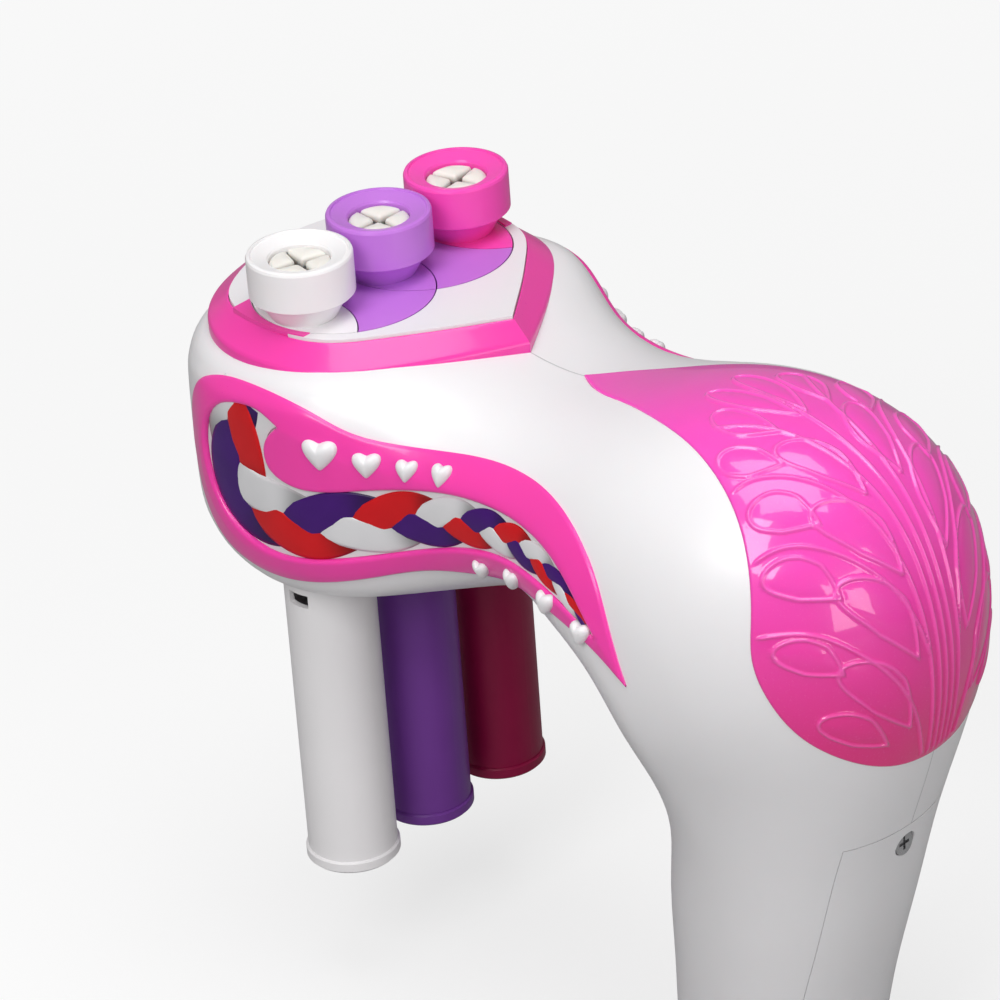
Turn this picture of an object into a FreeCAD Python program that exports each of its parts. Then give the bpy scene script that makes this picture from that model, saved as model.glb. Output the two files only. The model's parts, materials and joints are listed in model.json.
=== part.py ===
import FreeCAD, Part
import math
import os
import Sketcher
from FreeCAD import Rotation, Vector

# Automatic hair braider, millimetres. Every piece is drawn from the crown: the point where the middle strand
# holder's axis meets the top of its collar. +X runs back to the motor dome, +Y to the right-hand strand, +Z up.
# Each piece is then placed by reach and topHeight, so that the part's origin is the centre of the grip's base.

doc = FreeCAD.newDocument("HairBraider")
sheet = doc.addObject("Spreadsheet::Sheet", "Sizes")

drivingSizes = [
    ("topHeight", 151.0, "grip base to the collars' tops"),
    ("reach", 86.0, "strand row ahead of the grip base's centre"),
    ("runGap", 0.05, "radial gap of a running fit"),
    ("fitGap", 0.1, "gap between pieces that drop into each other"),
    # strand holders
    ("strandPitch", 20.25, "between neighbouring strand axes"),
    ("collarRadius", 9.5, ""),
    ("collarHeight", 8.0, ""),
    ("collarEdge", 0.6, "rounding of the collar's rims"),
    ("mouthRadius", 5.55, "opening above the jaws"),
    ("mouthDepth", 2.6, "collar's top to the jaws"),
    ("funnelDepth", 1.1, "slope from the groove to the mouth"),
    ("grooveRadius", 8.4, "fine ring groove on the collar's top"),
    ("grooveDepth", 0.35, ""),
    ("socketRadius", 7.0, "bore of the collar over the holder's spigot"),
    ("jawThickness", 1.5, ""),
    ("jawSlit", 2.2, "slit between the jaw's flaps"),
    ("boreRadius", 4.3, "the strand's way through a holder"),
    ("coreRadius", 6.0, ""),
    ("neckRadius", 8.3, "holder just under its collar"),
    ("stemRadius", 5.3, ""),
    ("stemDrop", 52.0, "crown to the stem's lower end"),
    ("tubeRadius", 8.3, ""),
    ("tubeWall", 1.1, ""),
    ("tubeTopDrop", 49.0, "crown to the tube's upper end"),
    ("tubeShoulder", 4.0, "solid top of the tube around the stem"),
    ("tubeBottomDrop", 124.0, "crown to the tube's lower end"),
    ("slotDrop", 66.6, "crown to the middle of the tube's slot"),
    ("slotWidth", 4.6, ""),
    ("slotHeight", 2.6, ""),
    ("footHeight", 2.4, "ring round the tube's lower end"),
    ("footRadius", 8.75, ""),
    # rotors
    ("deckDrop", 12.1, "crown to the deck and rotor plates"),
    ("rotorRadius", 16.3, ""),
    ("rotorGap", 0.25, "between a rotor plate and what it turns against"),
    ("plateThickness", 3.0, ""),
    ("gearTopDrop", 26.0, "crown to the rotor gear's upper face"),
    ("gearThickness", 5.0, ""),
    ("rotorGearRadius", 16.4, "pitch radius of the rotor's rim gear"),
    ("toothGap", 0.16, "backlash of every gear pair"),
    ("lipRadius", 15.75, "track that carries the rotors"),
    ("lipThickness", 2.0, ""),
    ("trackWall", 1.6, ""),
    # gear train
    ("idlerTurn", 8.0, "degrees, left idler round its rotor"),
    ("rightIdlerTurn", 12.0, "degrees, right idler round its rotor"),
    ("pinionThickness", 4.0, ""),
    ("levelGap", 0.6, "between gears on neighbouring levels"),
    ("wheelModule", 0.7, "module of the reduction gears"),
    ("shaftRadius", 1.25, ""),
    ("hubRadius", 2.3, "collars that space the gears on their shafts"),
    ("framePlate", 2.0, "gearbox plates"),
    ("crownTooth", 1.3, "height of the crown gear's teeth"),
    # motor
    ("motorWidth", 20.1, ""),
    ("motorHeight", 15.1, ""),
    ("motorLength", 25.0, ""),
    ("motorShaftRadius", 1.0, ""),
    ("motorBossRadius", 3.1, ""),
    # body shells
    ("wall", 2.2, "shell thickness"),
    ("trimProud", 1.4, "side trims above the shell"),
    ("studProud", 2.7, "heart studs above the shell"),
    ("panelProud", 0.4, "braid panels above the shell"),
    ("coverProud", 0.9, "dome cover above the shell, leaf scrolls included"),
    ("coverDepth", 1.2, "dome cover below the shell's surface"),
    ("headFront", 33.4, "strand row to the nose of the head"),
    ("headRise", 20.3, "head above its centre line"),
    ("headDepth", 28.3, "head below its centre line"),
    ("headHalfWidth", 37.3, ""),
    ("centreDrop", 36.1, "crown to the head's centre line"),
    ("neckHalfWidth", 28.5, ""),
    ("neckRise", 17.6, ""),
    ("neckDepth", 17.6, ""),
    ("domeHalfWidth", 36.0, ""),
    ("domeRise", 43.7, ""),
    ("gripTopHalfWidth", 24.7, ""),
    ("gripHalfWidth", 20.0, ""),
    ("gripFront", 21.0, "grip ahead of its axis"),
    ("gripBack", 17.6, "grip behind its axis"),
    ("baseHalfWidth", 16.9, ""),
    ("openingRadius", 19.2, "underside opening round each rotor's axis"),
    # trigger
    ("triggerWidth", 13.0, ""),
    ("triggerHeight", 26.0, ""),
    ("triggerDrop", 88.0, "crown to the trigger's middle"),
    ("triggerProud", 3.2, ""),
    ("triggerTravel", 2.0, ""),
    ("boardX", 80.5, "front face of the switch board"),
    ("boardThickness", 1.2, ""),
    ("boardWidth", 16.0, "switch board across"),
    ("boardHeight", 19.0, "switch board up the grip"),
    # batteries: two AA cells side by side
    ("cellRadius", 7.25, ""),
    ("cellLength", 50.5, ""),
    ("cellX", 90.2, ""),
    ("cellTopDrop", 86.5, ""),
    ("trayPlate", 1.6, ""),
    ("springGap", 2.4, "room for the contact springs under the cells"),
    ("doorHalfWidth", 14.0, ""),
    ("doorLift", 12.0, "how far the loose door lifts off"),
    # screws
    ("screwRadius", 1.2, ""),
    ("screwHeadRadius", 2.3, ""),
    ("screwHeadHeight", 1.5, ""),
    ("screwSeat", 8.0, "screw head's seat from the split line"),
    ("bossRadius", 3.6, ""),
]

for row, (alias, number, note) in enumerate(drivingSizes, start=1):
    sheet.set(f"A{row}", alias)
    sheet.set(f"B{row}", str(number))
    sheet.set(f"C{row}", note)
    sheet.setAlias(f"B{row}", alias)
doc.recompute()


class Size:
    # A length that knows its number and the sheet expression it comes from.
    def __init__(self, number, text):
        self.number = number
        self.text = text

    def __float__(self):
        return self.number

    def join(self, other, sign, turned=False):
        right = other if isinstance(other, Size) else Size(float(other), repr(float(other)))
        left = self
        if turned:
            left, right = right, left
        a, b = left.number, right.number
        number = {"+": lambda: a + b, "-": lambda: a - b, "*": lambda: a * b, "/": lambda: a / b}[sign]()
        return Size(number, f"({left.text} {sign} {right.text})")

    def __add__(self, other):
        return self.join(other, "+")

    def __radd__(self, other):
        return self.join(other, "+", True)

    def __sub__(self, other):
        return self.join(other, "-")

    def __rsub__(self, other):
        return self.join(other, "-", True)

    def __mul__(self, other):
        return self.join(other, "*")

    def __rmul__(self, other):
        return self.join(other, "*", True)

    def __truediv__(self, other):
        return self.join(other, "/")

    def __neg__(self):
        return Size(-self.number, f"(-{self.text})")


class SheetSizes:
    def __getattr__(self, alias):
        return Size(float(sheet.get(alias)), f"Sizes.{alias}")


s = SheetSizes()
pieces = []


def bind(feature, prop, value):
    if isinstance(value, Size):
        feature.setExpression(prop, value.text)
    else:
        feature.setExpression(prop, repr(float(value)))


def place(feature, x=0.0, y=0.0, z=0.0):
    # puts a finished piece where its crown coordinates say, in the part's frame
    bind(feature, "Placement.Base.x", x - s.reach)
    bind(feature, "Placement.Base.y", y)
    bind(feature, "Placement.Base.z", z + s.topHeight)


def finish(feature, label, x=0.0, y=0.0, z=0.0):
    feature.Label = label
    place(feature, x, y, z)
    pieces.append(feature)
    return feature


def shapePiece(label, shape):
    feature = doc.addObject("Part::Feature", label)
    feature.Shape = shape if shape.Placement.isIdentity() else Part.makeCompound([shape])
    return finish(feature, label)


def turnedPiece(label, profile, x=0.0, y=0.0, z=0.0):
    # a body turned about Z: the profile is a ring of (radius, height) corners, all sizes from the sheet
    body = doc.addObject("PartDesign::Body", label)
    plane = [item for item in body.Origin.OriginFeatures if item.Role == "XZ_Plane"][0]
    sketch = body.newObject("Sketcher::SketchObject", label + "Profile")
    sketch.AttachmentSupport = (plane, [""])
    sketch.MapMode = "FlatFace"
    corners = [Vector(float(radius), float(height), 0) for radius, height in profile]
    count = len(corners)
    for i in range(count):
        sketch.addGeometry(Part.LineSegment(corners[i], corners[(i + 1) % count]), False)
    for i in range(count):
        sketch.addConstraint(Sketcher.Constraint("Coincident", i, 2, (i + 1) % count, 1))
    for i, (radius, height) in enumerate(profile):
        for kind, value in (("DistanceX", radius), ("DistanceY", height)):
            index = sketch.addConstraint(Sketcher.Constraint(kind, -1, 1, i, 1, float(value)))
            if isinstance(value, Size):
                sketch.setExpression(f"Constraints[{index}]", value.text)
    turn = body.newObject("PartDesign::Revolution", label + "Turn")
    turn.Profile = sketch
    turn.ReferenceAxis = (sketch, ["V_Axis"])
    turn.Angle = 360
    body.Tip = turn
    return finish(body, label, x, y, z)


def cylinder(name, radius, height, x=0.0, y=0.0, z=0.0, turn=None):
    feature = doc.addObject("Part::Cylinder", name)
    bind(feature, "Radius", radius)
    bind(feature, "Height", height)
    if turn is not None:
        feature.Placement.Rotation = turn
    for axis, value in (("x", x), ("y", y), ("z", z)):
        bind(feature, f"Placement.Base.{axis}", value)
    return feature


def block(name, low, high):
    feature = doc.addObject("Part::Box", name)
    for prop, axis, a, b in zip(("Length", "Width", "Height"), "xyz", low, high):
        bind(feature, prop, b - a)
        bind(feature, f"Placement.Base.{axis}", a)
    return feature


def fuse(name, features):
    joined = doc.addObject("Part::MultiFuse", name)
    joined.Shapes = features
    return joined


def cut(name, base, tools):
    tool = tools[0] if len(tools) == 1 else fuse(name + "Tools", tools)
    feature = doc.addObject("Part::Cut", name)
    feature.Base = base
    feature.Tool = tool
    return feature


alongX = Rotation(Vector(0, 1, 0), 90)
alongY = Rotation(Vector(1, 0, 0), -90)
up = Vector(0, 0, 1)


def disc(radius, thickness, x, y, top):
    # a plain disc hanging down from its top face
    return Part.makeCylinder(radius, thickness, Vector(x, y, top - thickness))


def slab(wire, low, high):
    face = Part.Face(wire)
    face.translate(Vector(0, 0, low - face.BoundBox.ZMin))
    return face.extrude(Vector(0, 0, high - low))


def joined(shapes):
    return shapes[0].multiFuse(shapes[1:]).removeSplitter() if len(shapes) > 1 else shapes[0]


# ---------------------------------------------------------------- body form
# The body is a skin over upright sections that fan round from the head to the grip. A section row holds: x and z
# of its centre, lean of its outward axis from vertical, extents outward and inward, half width, and how square its
# outer and inner halves are (2 is an ellipse).

centre = -float(s.centreDrop)
head = (float(s.headRise), float(s.headDepth), float(s.headHalfWidth))
neck = (float(s.neckRise), float(s.neckDepth), float(s.neckHalfWidth))
dome = (float(s.domeRise), float(s.neckDepth), float(s.domeHalfWidth))
grip = (float(s.gripBack), float(s.gripFront), float(s.gripHalfWidth))
base = (float(s.baseHalfWidth) - 1.0, float(s.baseHalfWidth) + 0.3, float(s.baseHalfWidth))
baseDrop = -float(s.topHeight)
baseX = float(s.reach)

sectionRows = [
    (0.0, centre, 0, head[0], head[1], head[2], 6.4, 5.2),
    (14.0, centre, 0, head[0] + 0.6, head[1] - 1.3, head[2] - 0.7, 6.2, 4.8),
    (28.5, centre, 3, head[0] - 1.3, head[1] - 4.1, head[2] - 6.4, 3.2, 4.2),
    (42.0, centre - 0.5, 8, neck[0], neck[1] + 2.8, neck[2], 2.5, 3.2),
    (54.5, centre - 1.4, 17, neck[0] + 4.6, neck[1] - 0.5, neck[2] + 1.0, 2.2, 2.5),
    (67.5, centre - 3.9, 32, dome[0] - 9.3, dome[1] + 0.4, dome[2] - 2.8, 2.1, 2.3),
    (81.0, centre - 11.9, 50, dome[0], dome[1], dome[2], 2.1, 2.3),
    (88.4, centre - 24.7, 66, dome[0] - 3.4, dome[1] + 0.2, dome[2] - 1.4, 2.1, 2.3),
    (91.5, centre - 38.9, 78, dome[0] - 12.0, dome[1] + 2.0, dome[2] - 7.2, 2.1, 2.2),
    (93.0, centre - 53.2, 86, grip[0] + 5.6, grip[1] + 0.6, float(s.gripTopHalfWidth), 2.1, 2.1),
    (91.3, centre - 69.4, 91, grip[0] + 2.4, grip[1] + 1.2, grip[2] + 2.3, 2.1, 2.1),
    (88.8, centre - 87.4, 93, grip[0], grip[1] - 0.2, grip[2], 2.1, 2.1),
    (86.9, centre - 102.6, 93, grip[0] - 1.2, grip[1] - 1.8, grip[2] - 1.8, 2.2, 2.2),
    (baseX, baseDrop, 90, base[0], base[1], base[2], 2.2, 2.2),
]
noseShares = (0.05, 0.2, 0.4, 0.62, 0.82, 0.95)
sectionPoints = 32


def sectionRing(x, z, lean, outward, inward, halfWidth, squareOut, squareIn):
    ring = []
    tilt = math.radians(lean)
    for k in range(sectionPoints):
        angle = 2 * math.pi * k / sectionPoints - math.pi / 2
        across, along = math.cos(angle), math.sin(angle)
        square, extent = (squareOut, outward) if along >= 0 else (squareIn, inward)
        y = halfWidth * math.copysign(abs(across) ** (2 / square), across)
        reachOut = extent * math.copysign(abs(along) ** (2 / square), along)
        ring.append(Vector(x + math.sin(tilt) * reachOut, y, z + math.cos(tilt) * reachOut))
    return ring


def bodyRings(inset, floor):
    rings = []
    for share in noseShares:
        x = -(float(s.headFront) - inset) * math.sqrt(1 - share * share)
        height = share ** 0.3
        width = share ** 0.84
        squareOut, squareIn = 2.8 * (1 + share), 2.4 * (1 + share)
        rings.append(sectionRing(x, centre, 0, (head[0] - inset) * height, (head[1] - inset) * height,
                                 (head[2] - inset) * width, squareOut, squareIn))
    for x, z, lean, outward, inward, halfWidth, squareOut, squareIn in sectionRows[:-1]:
        rings.append(sectionRing(x, z, lean, outward - inset, inward - inset, halfWidth - inset,
                                 squareOut, squareIn))
    x, z, lean, outward, inward, halfWidth, squareOut, squareIn = sectionRows[-1]
    rings.append(sectionRing(x, z + floor, lean, outward - inset, inward - inset, halfWidth - inset,
                             squareOut, squareIn))
    return rings


def bodySolid(inset, floor=0.0):
    # the body's form, drawn in by inset all round; floor lifts its flat lower end
    rings = bodyRings(inset, floor)
    around = [float(k) for k in range(sectionPoints + 1)]
    hoops = []
    for ring in rings:
        hoop = Part.BSplineCurve()
        hoop.interpolate(Points=ring, PeriodicFlag=True, Parameters=around)
        hoops.append(hoop)
    along = [0.0]
    for ring, following in zip(rings, rings[1:]):
        step = sum((a - b).Length for a, b in zip(ring, following)) / sectionPoints
        along.append(along[-1] + step)
    ribs = []
    for j in range(hoops[0].NbPoles):
        rib = Part.BSplineCurve()
        rib.interpolate(Points=[hoop.getPole(j + 1) for hoop in hoops], Parameters=along)
        ribs.append(rib)
    skin = Part.BSplineSurface()
    skin.buildFromPolesMultsKnots([rib.getPoles() for rib in ribs],
                                  hoops[0].getMultiplicities(), ribs[0].getMultiplicities(),
                                  hoops[0].getKnots(), ribs[0].getKnots(),
                                  True, False, hoops[0].Degree, ribs[0].Degree)
    side = skin.toShape()
    caps = [Part.Face(Part.Wire([edge])) for edge in side.Edges if edge.isClosed()]
    whole = Part.makeCompound([side] + caps)
    whole.sewShape(0.01)
    return Part.Solid(whole.Shells[0])


wall = float(s.wall)
outerForm = bodySolid(0.0)
innerForm = bodySolid(wall, wall)
seatForm = bodySolid(wall + float(s.fitGap), wall + float(s.fitGap))
farAway = 300.0


def sidePrism(wire, side, near=0.0):
    # a prism across one side of the body, from an outline drawn in side view; side is -1 left or +1 right
    face = Part.Face(wire)
    face.translate(Vector(0, side * near, 0))
    return face.extrude(Vector(0, side * farAway, 0))


def curve(points, closed=False):
    spline = Part.BSplineCurve()
    spline.interpolate(Points=points, PeriodicFlag=closed)
    return spline.toShape()


def sideOutline(*runs):
    # runs of (x, drop) points; each run is one smooth curve and the runs meet in corners
    edges = []
    for i, run in enumerate(runs):
        following = runs[(i + 1) % len(runs)]
        points = list(run) + [following[0]]
        edges.append(curve([Vector(x, 0, -drop) for x, drop in points]))
    return Part.Wire(edges)


# ---------------------------------------------------------------- places of the rotors and gears

pitch = float(s.strandPitch)
strandYs = (-pitch, 0.0, pitch)
rotorYs = (-pitch / 2, pitch / 2)
rotorRadius = float(s.rotorRadius)
rotorGap = float(s.rotorGap)
deckTop = -float(s.deckDrop)
gearTop = -float(s.gearTopDrop)
gearThickness = float(s.gearThickness)
gearBottom = gearTop - gearThickness
lipBottom = gearBottom - 0.2 - float(s.lipThickness)
runGap = float(s.runGap)

rotorTeeth, idlerTeeth, pinionTeeth, driverTeeth, reverseTeeth = 40, 20, 8, 30, 8
wheelTeeth, smallTeeth, motorTeeth = 36, 12, 10
addendum, dedendum = 0.75, 1.0
gearModule = 2 * float(s.rotorGearRadius) / rotorTeeth
wheelModule = float(s.wheelModule)
rimRadius = float(s.rotorGearRadius) + addendum * gearModule      # the rotor gear's tips


def polar(x, y, radius, degrees):
    angle = math.radians(degrees)
    return x + radius * math.cos(angle), y + radius * math.sin(angle)


idlerReach = gearModule * (rotorTeeth + idlerTeeth) / 2
driverReach = gearModule * (driverTeeth + pinionTeeth) / 2
pairReach = gearModule * (reverseTeeth + pinionTeeth) / 2
leftIdler = polar(0, rotorYs[0], idlerReach, -float(s.idlerTurn))
rightIdler = polar(0, rotorYs[1], idlerReach, float(s.rightIdlerTurn))
driver = (leftIdler[0] + math.sqrt(driverReach ** 2 - leftIdler[1] ** 2), 0.0)
toRight = math.hypot(rightIdler[0] - driver[0], rightIdler[1])
rightWay = math.degrees(math.atan2(rightIdler[1], rightIdler[0] - driver[0]))
corner = (driverReach ** 2 + toRight ** 2 - pairReach ** 2) / (2 * driverReach * toRight)
reverser = polar(driver[0], driver[1], driverReach, rightWay - math.degrees(math.acos(corner)))
crownShaft = (driver[0] + wheelModule * (wheelTeeth + smallTeeth) / 2, 0.0)

pinionTop = lipBottom - 0.2
pinionThickness = float(s.pinionThickness)
levelGap = float(s.levelGap)
wheelTop = pinionTop - pinionThickness - levelGap
plateTop = gearTop + 3.4                                           # gearbox cover's upper face
plateBottom = wheelTop - pinionThickness - 1.0                     # gearbox frame's plate, upper face
framePlate = float(s.framePlate)
shaftRadius = float(s.shaftRadius)
hubRadius = float(s.hubRadius)


def involute(angle):
    return math.tan(angle) - angle


def gearWire(teeth, module, x, y, phase=0.0, kept=None):
    # outline of a spur gear; phase turns one tooth's centre line, kept lists the teeth that are cut
    pitchRadius = module * teeth / 2
    tip, root = pitchRadius + addendum * module, pitchRadius - dedendum * module
    pressure = math.radians(20)
    baseRadius = pitchRadius * math.cos(pressure)
    halfTooth = math.pi / (2 * teeth) - float(s.toothGap) / (2 * pitchRadius)
    start = max(root, baseRadius)
    radii = [start + (tip - start) * i / 3 for i in range(4)]
    flank = [(root, halfTooth + involute(pressure) - involute(math.acos(min(1, baseRadius / start))))]
    flank[0] = (root, flank[0][1] + 0.12 * module / root)
    for radius in radii:
        flank.append((radius, halfTooth + involute(pressure) - involute(math.acos(min(1, baseRadius / radius)))))
    points = []
    step = 2 * math.pi / teeth
    for k in range(teeth):
        middle = math.radians(phase) + k * step
        if kept is not None and k not in kept:
            points += [(root, middle - step / 2), (root, middle - step / 4), (root, middle),
                       (root, middle + step / 4)]
            continue
        points += [(radius, middle - half) for radius, half in flank]
        points += [(radius, middle + half) for radius, half in reversed(flank)]
    corners = [Vector(x + radius * math.cos(angle), y + radius * math.sin(angle), 0) for radius, angle in points]
    return Part.makePolygon(corners + [corners[0]])


def gear(teeth, module, place, top, thickness, phase=0.0, kept=None):
    wire = gearWire(teeth, module, place[0], place[1], phase, kept)
    return slab(wire, top - thickness, top)


def meshPhase(fromPlace, fromTeeth, fromPhase, toPlace, toTeeth):
    # phase that sets a gap of the second gear on the line of centres where the first has a tooth
    way = math.degrees(math.atan2(toPlace[1] - fromPlace[1], toPlace[0] - fromPlace[0]))
    share = (way - fromPhase) * fromTeeth / 360
    return way + 180 + (share - 0.5) * 360 / toTeeth


def direction(fromPlace, toPlace):
    return math.degrees(math.atan2(toPlace[1] - fromPlace[1], toPlace[0] - fromPlace[0]))


rotorPhase = 0.0
rotorPlaces = [(0.0, y) for y in rotorYs]
leftIdlerPhase = meshPhase(rotorPlaces[0], rotorTeeth, rotorPhase, leftIdler, idlerTeeth)
rightIdlerPhase = meshPhase(rotorPlaces[1], rotorTeeth, rotorPhase, rightIdler, idlerTeeth)
leftPinionPhase = direction(leftIdler, driver)
driverPhase = meshPhase(leftIdler, pinionTeeth, leftPinionPhase, driver, driverTeeth)
reversePhase = meshPhase(driver, driverTeeth, driverPhase, reverser, reverseTeeth)
rightPinionPhase = meshPhase(reverser, reverseTeeth, reversePhase, rightIdler, pinionTeeth)
smallPhase = meshPhase(driver, wheelTeeth, 0.0, crownShaft, smallTeeth)


# ---------------------------------------------------------------- strand holders

sideNames = ("left", "middle", "right")


def lens(y, radius, top, thickness):
    # the eye shape that two crossing rotors share, round the strand axis at y
    near = disc(radius, thickness, 0, y - pitch / 2, top)
    return near.common(disc(radius, thickness, 0, y + pitch / 2, top))


def toothedLens(y):
    near = gear(rotorTeeth, gearModule, (0, y - pitch / 2), gearTop, gearThickness, rotorPhase)
    far = gear(rotorTeeth, gearModule, (0, y + pitch / 2), gearTop, gearThickness, rotorPhase)
    blunt = disc(math.sqrt(rotorRadius ** 2 - (pitch / 2) ** 2) - 0.1, gearThickness, 0, y, gearTop)
    return near.common(far).common(blunt)


def holderShape(y):
    spigotTop = -(float(s.mouthDepth) + float(s.jawThickness) + 0.05)
    collarBottom = -float(s.collarHeight)
    spigot = disc(float(s.socketRadius) - runGap, spigotTop - collarBottom, 0, y, spigotTop)
    flare = Part.makeCone(float(s.coreRadius), float(s.neckRadius), collarBottom - deckTop, Vector(0, y, deckTop))
    core = disc(float(s.coreRadius), deckTop - gearTop, 0, y, deckTop)
    stem = disc(float(s.stemRadius), float(s.stemDrop) + gearBottom, 0, y, gearBottom)
    solid = joined([spigot, flare, core, stem, lens(y, rotorRadius, deckTop, float(s.plateThickness)),
                    toothedLens(y)])
    bore = disc(float(s.boreRadius), float(s.stemDrop) + 1, 0, y, 0.0)
    return solid.cut(bore)


collarProfile = [
    (s.collarRadius - s.collarEdge, 0.0 * s.collarHeight),
    (s.grooveRadius + 0.3, 0.0 * s.collarHeight),
    (s.grooveRadius + 0.15, -s.grooveDepth),
    (s.grooveRadius - 0.15, -s.grooveDepth),
    (s.grooveRadius - 0.3, -0.05 * s.collarHeight),
    (s.mouthRadius + 0.25, -s.funnelDepth),
    (s.mouthRadius, -s.funnelDepth - 0.4),
    (s.mouthRadius, -s.mouthDepth),
    (s.socketRadius, -s.mouthDepth),
    (s.socketRadius, -s.collarHeight),
    (s.collarRadius - s.collarEdge * 0.6, -s.collarHeight),
    (s.collarRadius, -s.collarHeight + s.collarEdge * 0.6),
    (s.collarRadius, -s.collarEdge),
    (s.collarRadius - s.collarEdge * 0.3, -s.collarEdge * 0.3),
]


def jawShape(y):
    top = -float(s.mouthDepth) - 0.02
    plate = disc(float(s.socketRadius) - runGap, float(s.jawThickness), 0, y, top)
    reachOut = float(s.mouthRadius) - 0.3
    slits = []
    for turn in (45, 135):
        slit = Part.makeBox(2 * reachOut, float(s.jawSlit), 4, Vector(-reachOut, -float(s.jawSlit) / 2, -2))
        slit.rotate(Vector(), up, turn)
        slit.translate(Vector(0, y, top))
        slits.append(slit)
    dish = Part.makeCone(1.0, float(s.mouthRadius) - 0.4, 0.7, Vector(0, y, top - 0.7))
    return plate.cut(joined(slits)).cut(dish)


tubeProfile = [
    (s.stemRadius + 0.02, -s.tubeTopDrop),
    (s.tubeRadius - 0.5, -s.tubeTopDrop),
    (s.tubeRadius, -s.tubeTopDrop - 0.5),
    (s.tubeRadius, -s.tubeBottomDrop + s.footHeight),
    (s.tubeRadius - 0.35, -s.tubeBottomDrop + s.footHeight),
    (s.tubeRadius - 0.35, -s.tubeBottomDrop + 0.2),
    (s.tubeRadius - s.tubeWall, -s.tubeBottomDrop + 0.2),
    (s.tubeRadius - s.tubeWall, -s.tubeTopDrop - s.tubeShoulder),
    (s.stemRadius + 0.02, -s.tubeTopDrop - s.tubeShoulder),
]
footProfile = [
    (s.tubeRadius - 0.35, -s.tubeBottomDrop + s.footHeight),
    (s.footRadius - 0.3, -s.tubeBottomDrop + s.footHeight),
    (s.footRadius, -s.tubeBottomDrop + s.footHeight - 0.3),
    (s.footRadius, -s.tubeBottomDrop + 0.5),
    (s.footRadius - 0.5, -s.tubeBottomDrop),
    (s.tubeRadius - s.tubeWall, -s.tubeBottomDrop),
    (s.tubeRadius - s.tubeWall, -s.tubeBottomDrop + 0.2),
    (s.tubeRadius - 0.35, -s.tubeBottomDrop + 0.2),
]


def slottedTube(label, y):
    turned = turnedPiece(label + "Turned", tubeProfile)
    pieces.remove(turned)
    place(turned, s.reach, 0.0, -s.topHeight)
    slot = block(label + "Slot", (-s.slotWidth / 2, -s.tubeRadius - 1, -s.slotDrop - s.slotHeight / 2),
                 (s.slotWidth / 2, -s.tubeRadius + s.tubeWall + 1, -s.slotDrop + s.slotHeight / 2))
    return finish(cut(label, turned, [slot]), label, 0.0, y)


def makeStrandHolders():
    ySizes = (-s.strandPitch, 0.0, s.strandPitch)
    for name, ySize, y in zip(sideNames, ySizes, strandYs):
        shapePiece(f"{name}_holder", holderShape(y))
        turnedPiece(f"{name}_collar", collarProfile, 0.0, ySize)
        shapePiece(f"{name}_jaws", jawShape(y))
        slottedTube(f"{name}_tube", ySize)
        turnedPiece(f"{name}_tube_foot", footProfile, 0.0, ySize)


# ---------------------------------------------------------------- rotor hubs and their track

def hubShape(y):
    plate = disc(rotorRadius, float(s.plateThickness), 0, y, deckTop)
    column = disc(rotorRadius - 1.2, deckTop - gearTop - 1, 0, y, deckTop - 1)
    rim = gear(rotorTeeth, gearModule, (0, y), gearTop, gearThickness, rotorPhase)
    tipGap = rimRadius + rotorGap
    for side in (-1, 1):
        other = y + side * pitch
        plate = plate.cut(disc(rotorRadius + rotorGap, 40, 0, other, 0))
        column = column.cut(disc(tipGap, 60, 0, other, 0))
        rim = rim.cut(disc(tipGap, 60, 0, other, 0))
    parts = [plate, column, rim]
    return joined(parts)


def eightWire(radius):
    # outline of two crossing circles round the rotor axes
    half = pitch / 2
    waist = math.sqrt(radius ** 2 - half ** 2)
    far = half + radius
    right = Part.Arc(Vector(waist, 0, 0), Vector(0, far, 0), Vector(-waist, 0, 0))
    left = Part.Arc(Vector(-waist, 0, 0), Vector(0, -far, 0), Vector(waist, 0, 0))
    return Part.Wire([right.toShape(), left.toShape()])


def eight(radius, low, high):
    return slab(eightWire(radius), low, high)


def trackShape():
    # plate that carries the rotors on a lip, with a wall round their rim gears
    halfWidth = float(s.headHalfWidth)
    front = -float(s.headFront)
    plateFrom, plateTo = lipBottom, gearBottom - 0.2
    plate = Part.makeBox(18.4 - front, 2 * halfWidth, plateTo - plateFrom, Vector(front, -halfWidth, plateFrom))
    plate = plate.common(seatForm)
    track = eight(rimRadius + 2 * rotorGap + float(s.trackWall), plateTo - 0.5, gearTop - 0.15)
    solid = plate.fuse(track)
    solid = solid.cut(eight(float(s.lipRadius), -100, 0))
    solid = solid.cut(eight(rimRadius + 2 * rotorGap, plateTo, 0))
    for place in (leftIdler, rightIdler):
        clear = gearModule * (idlerTeeth / 2 + addendum) + 0.5
        solid = solid.cut(disc(clear, 100, place[0], place[1], 0).common(
            Part.makeBox(200, 200, 100, Vector(-100, -100, plateTo))))
        solid = solid.cut(disc(hubRadius + 0.5, 100, place[0], place[1], 0))
    return solid


def makeRotors():
    shapePiece("left_rotor_hub", hubShape(rotorYs[0]))
    shapePiece("right_rotor_hub", hubShape(rotorYs[1]))
    shapePiece("rotor_track", trackShape())


# ---------------------------------------------------------------- top trim and deck

trimPoints = [(-29.9, 0), (-29.0, 7), (-26.2, 16), (-20.0, 25), (-13.6, 29.6), (-6.3, 32.1), (2.0, 32.6),
              (10.6, 31.0), (16.7, 27.0), (21.8, 21.0), (28.4, 11.2), (34.9, 0)]
deckPoints = [(-24.7, 0), (-23.6, 8), (-20.6, 16.5), (-16.6, 22.6), (-11.0, 26.0), (-3.0, 27.7), (5.0, 27.7),
              (11.4, 25.1), (16.9, 19.4), (22.9, 11.7), (31.2, 0)]
trimTop, trimEdge = deckTop - 0.3, deckTop - 4.2


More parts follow.
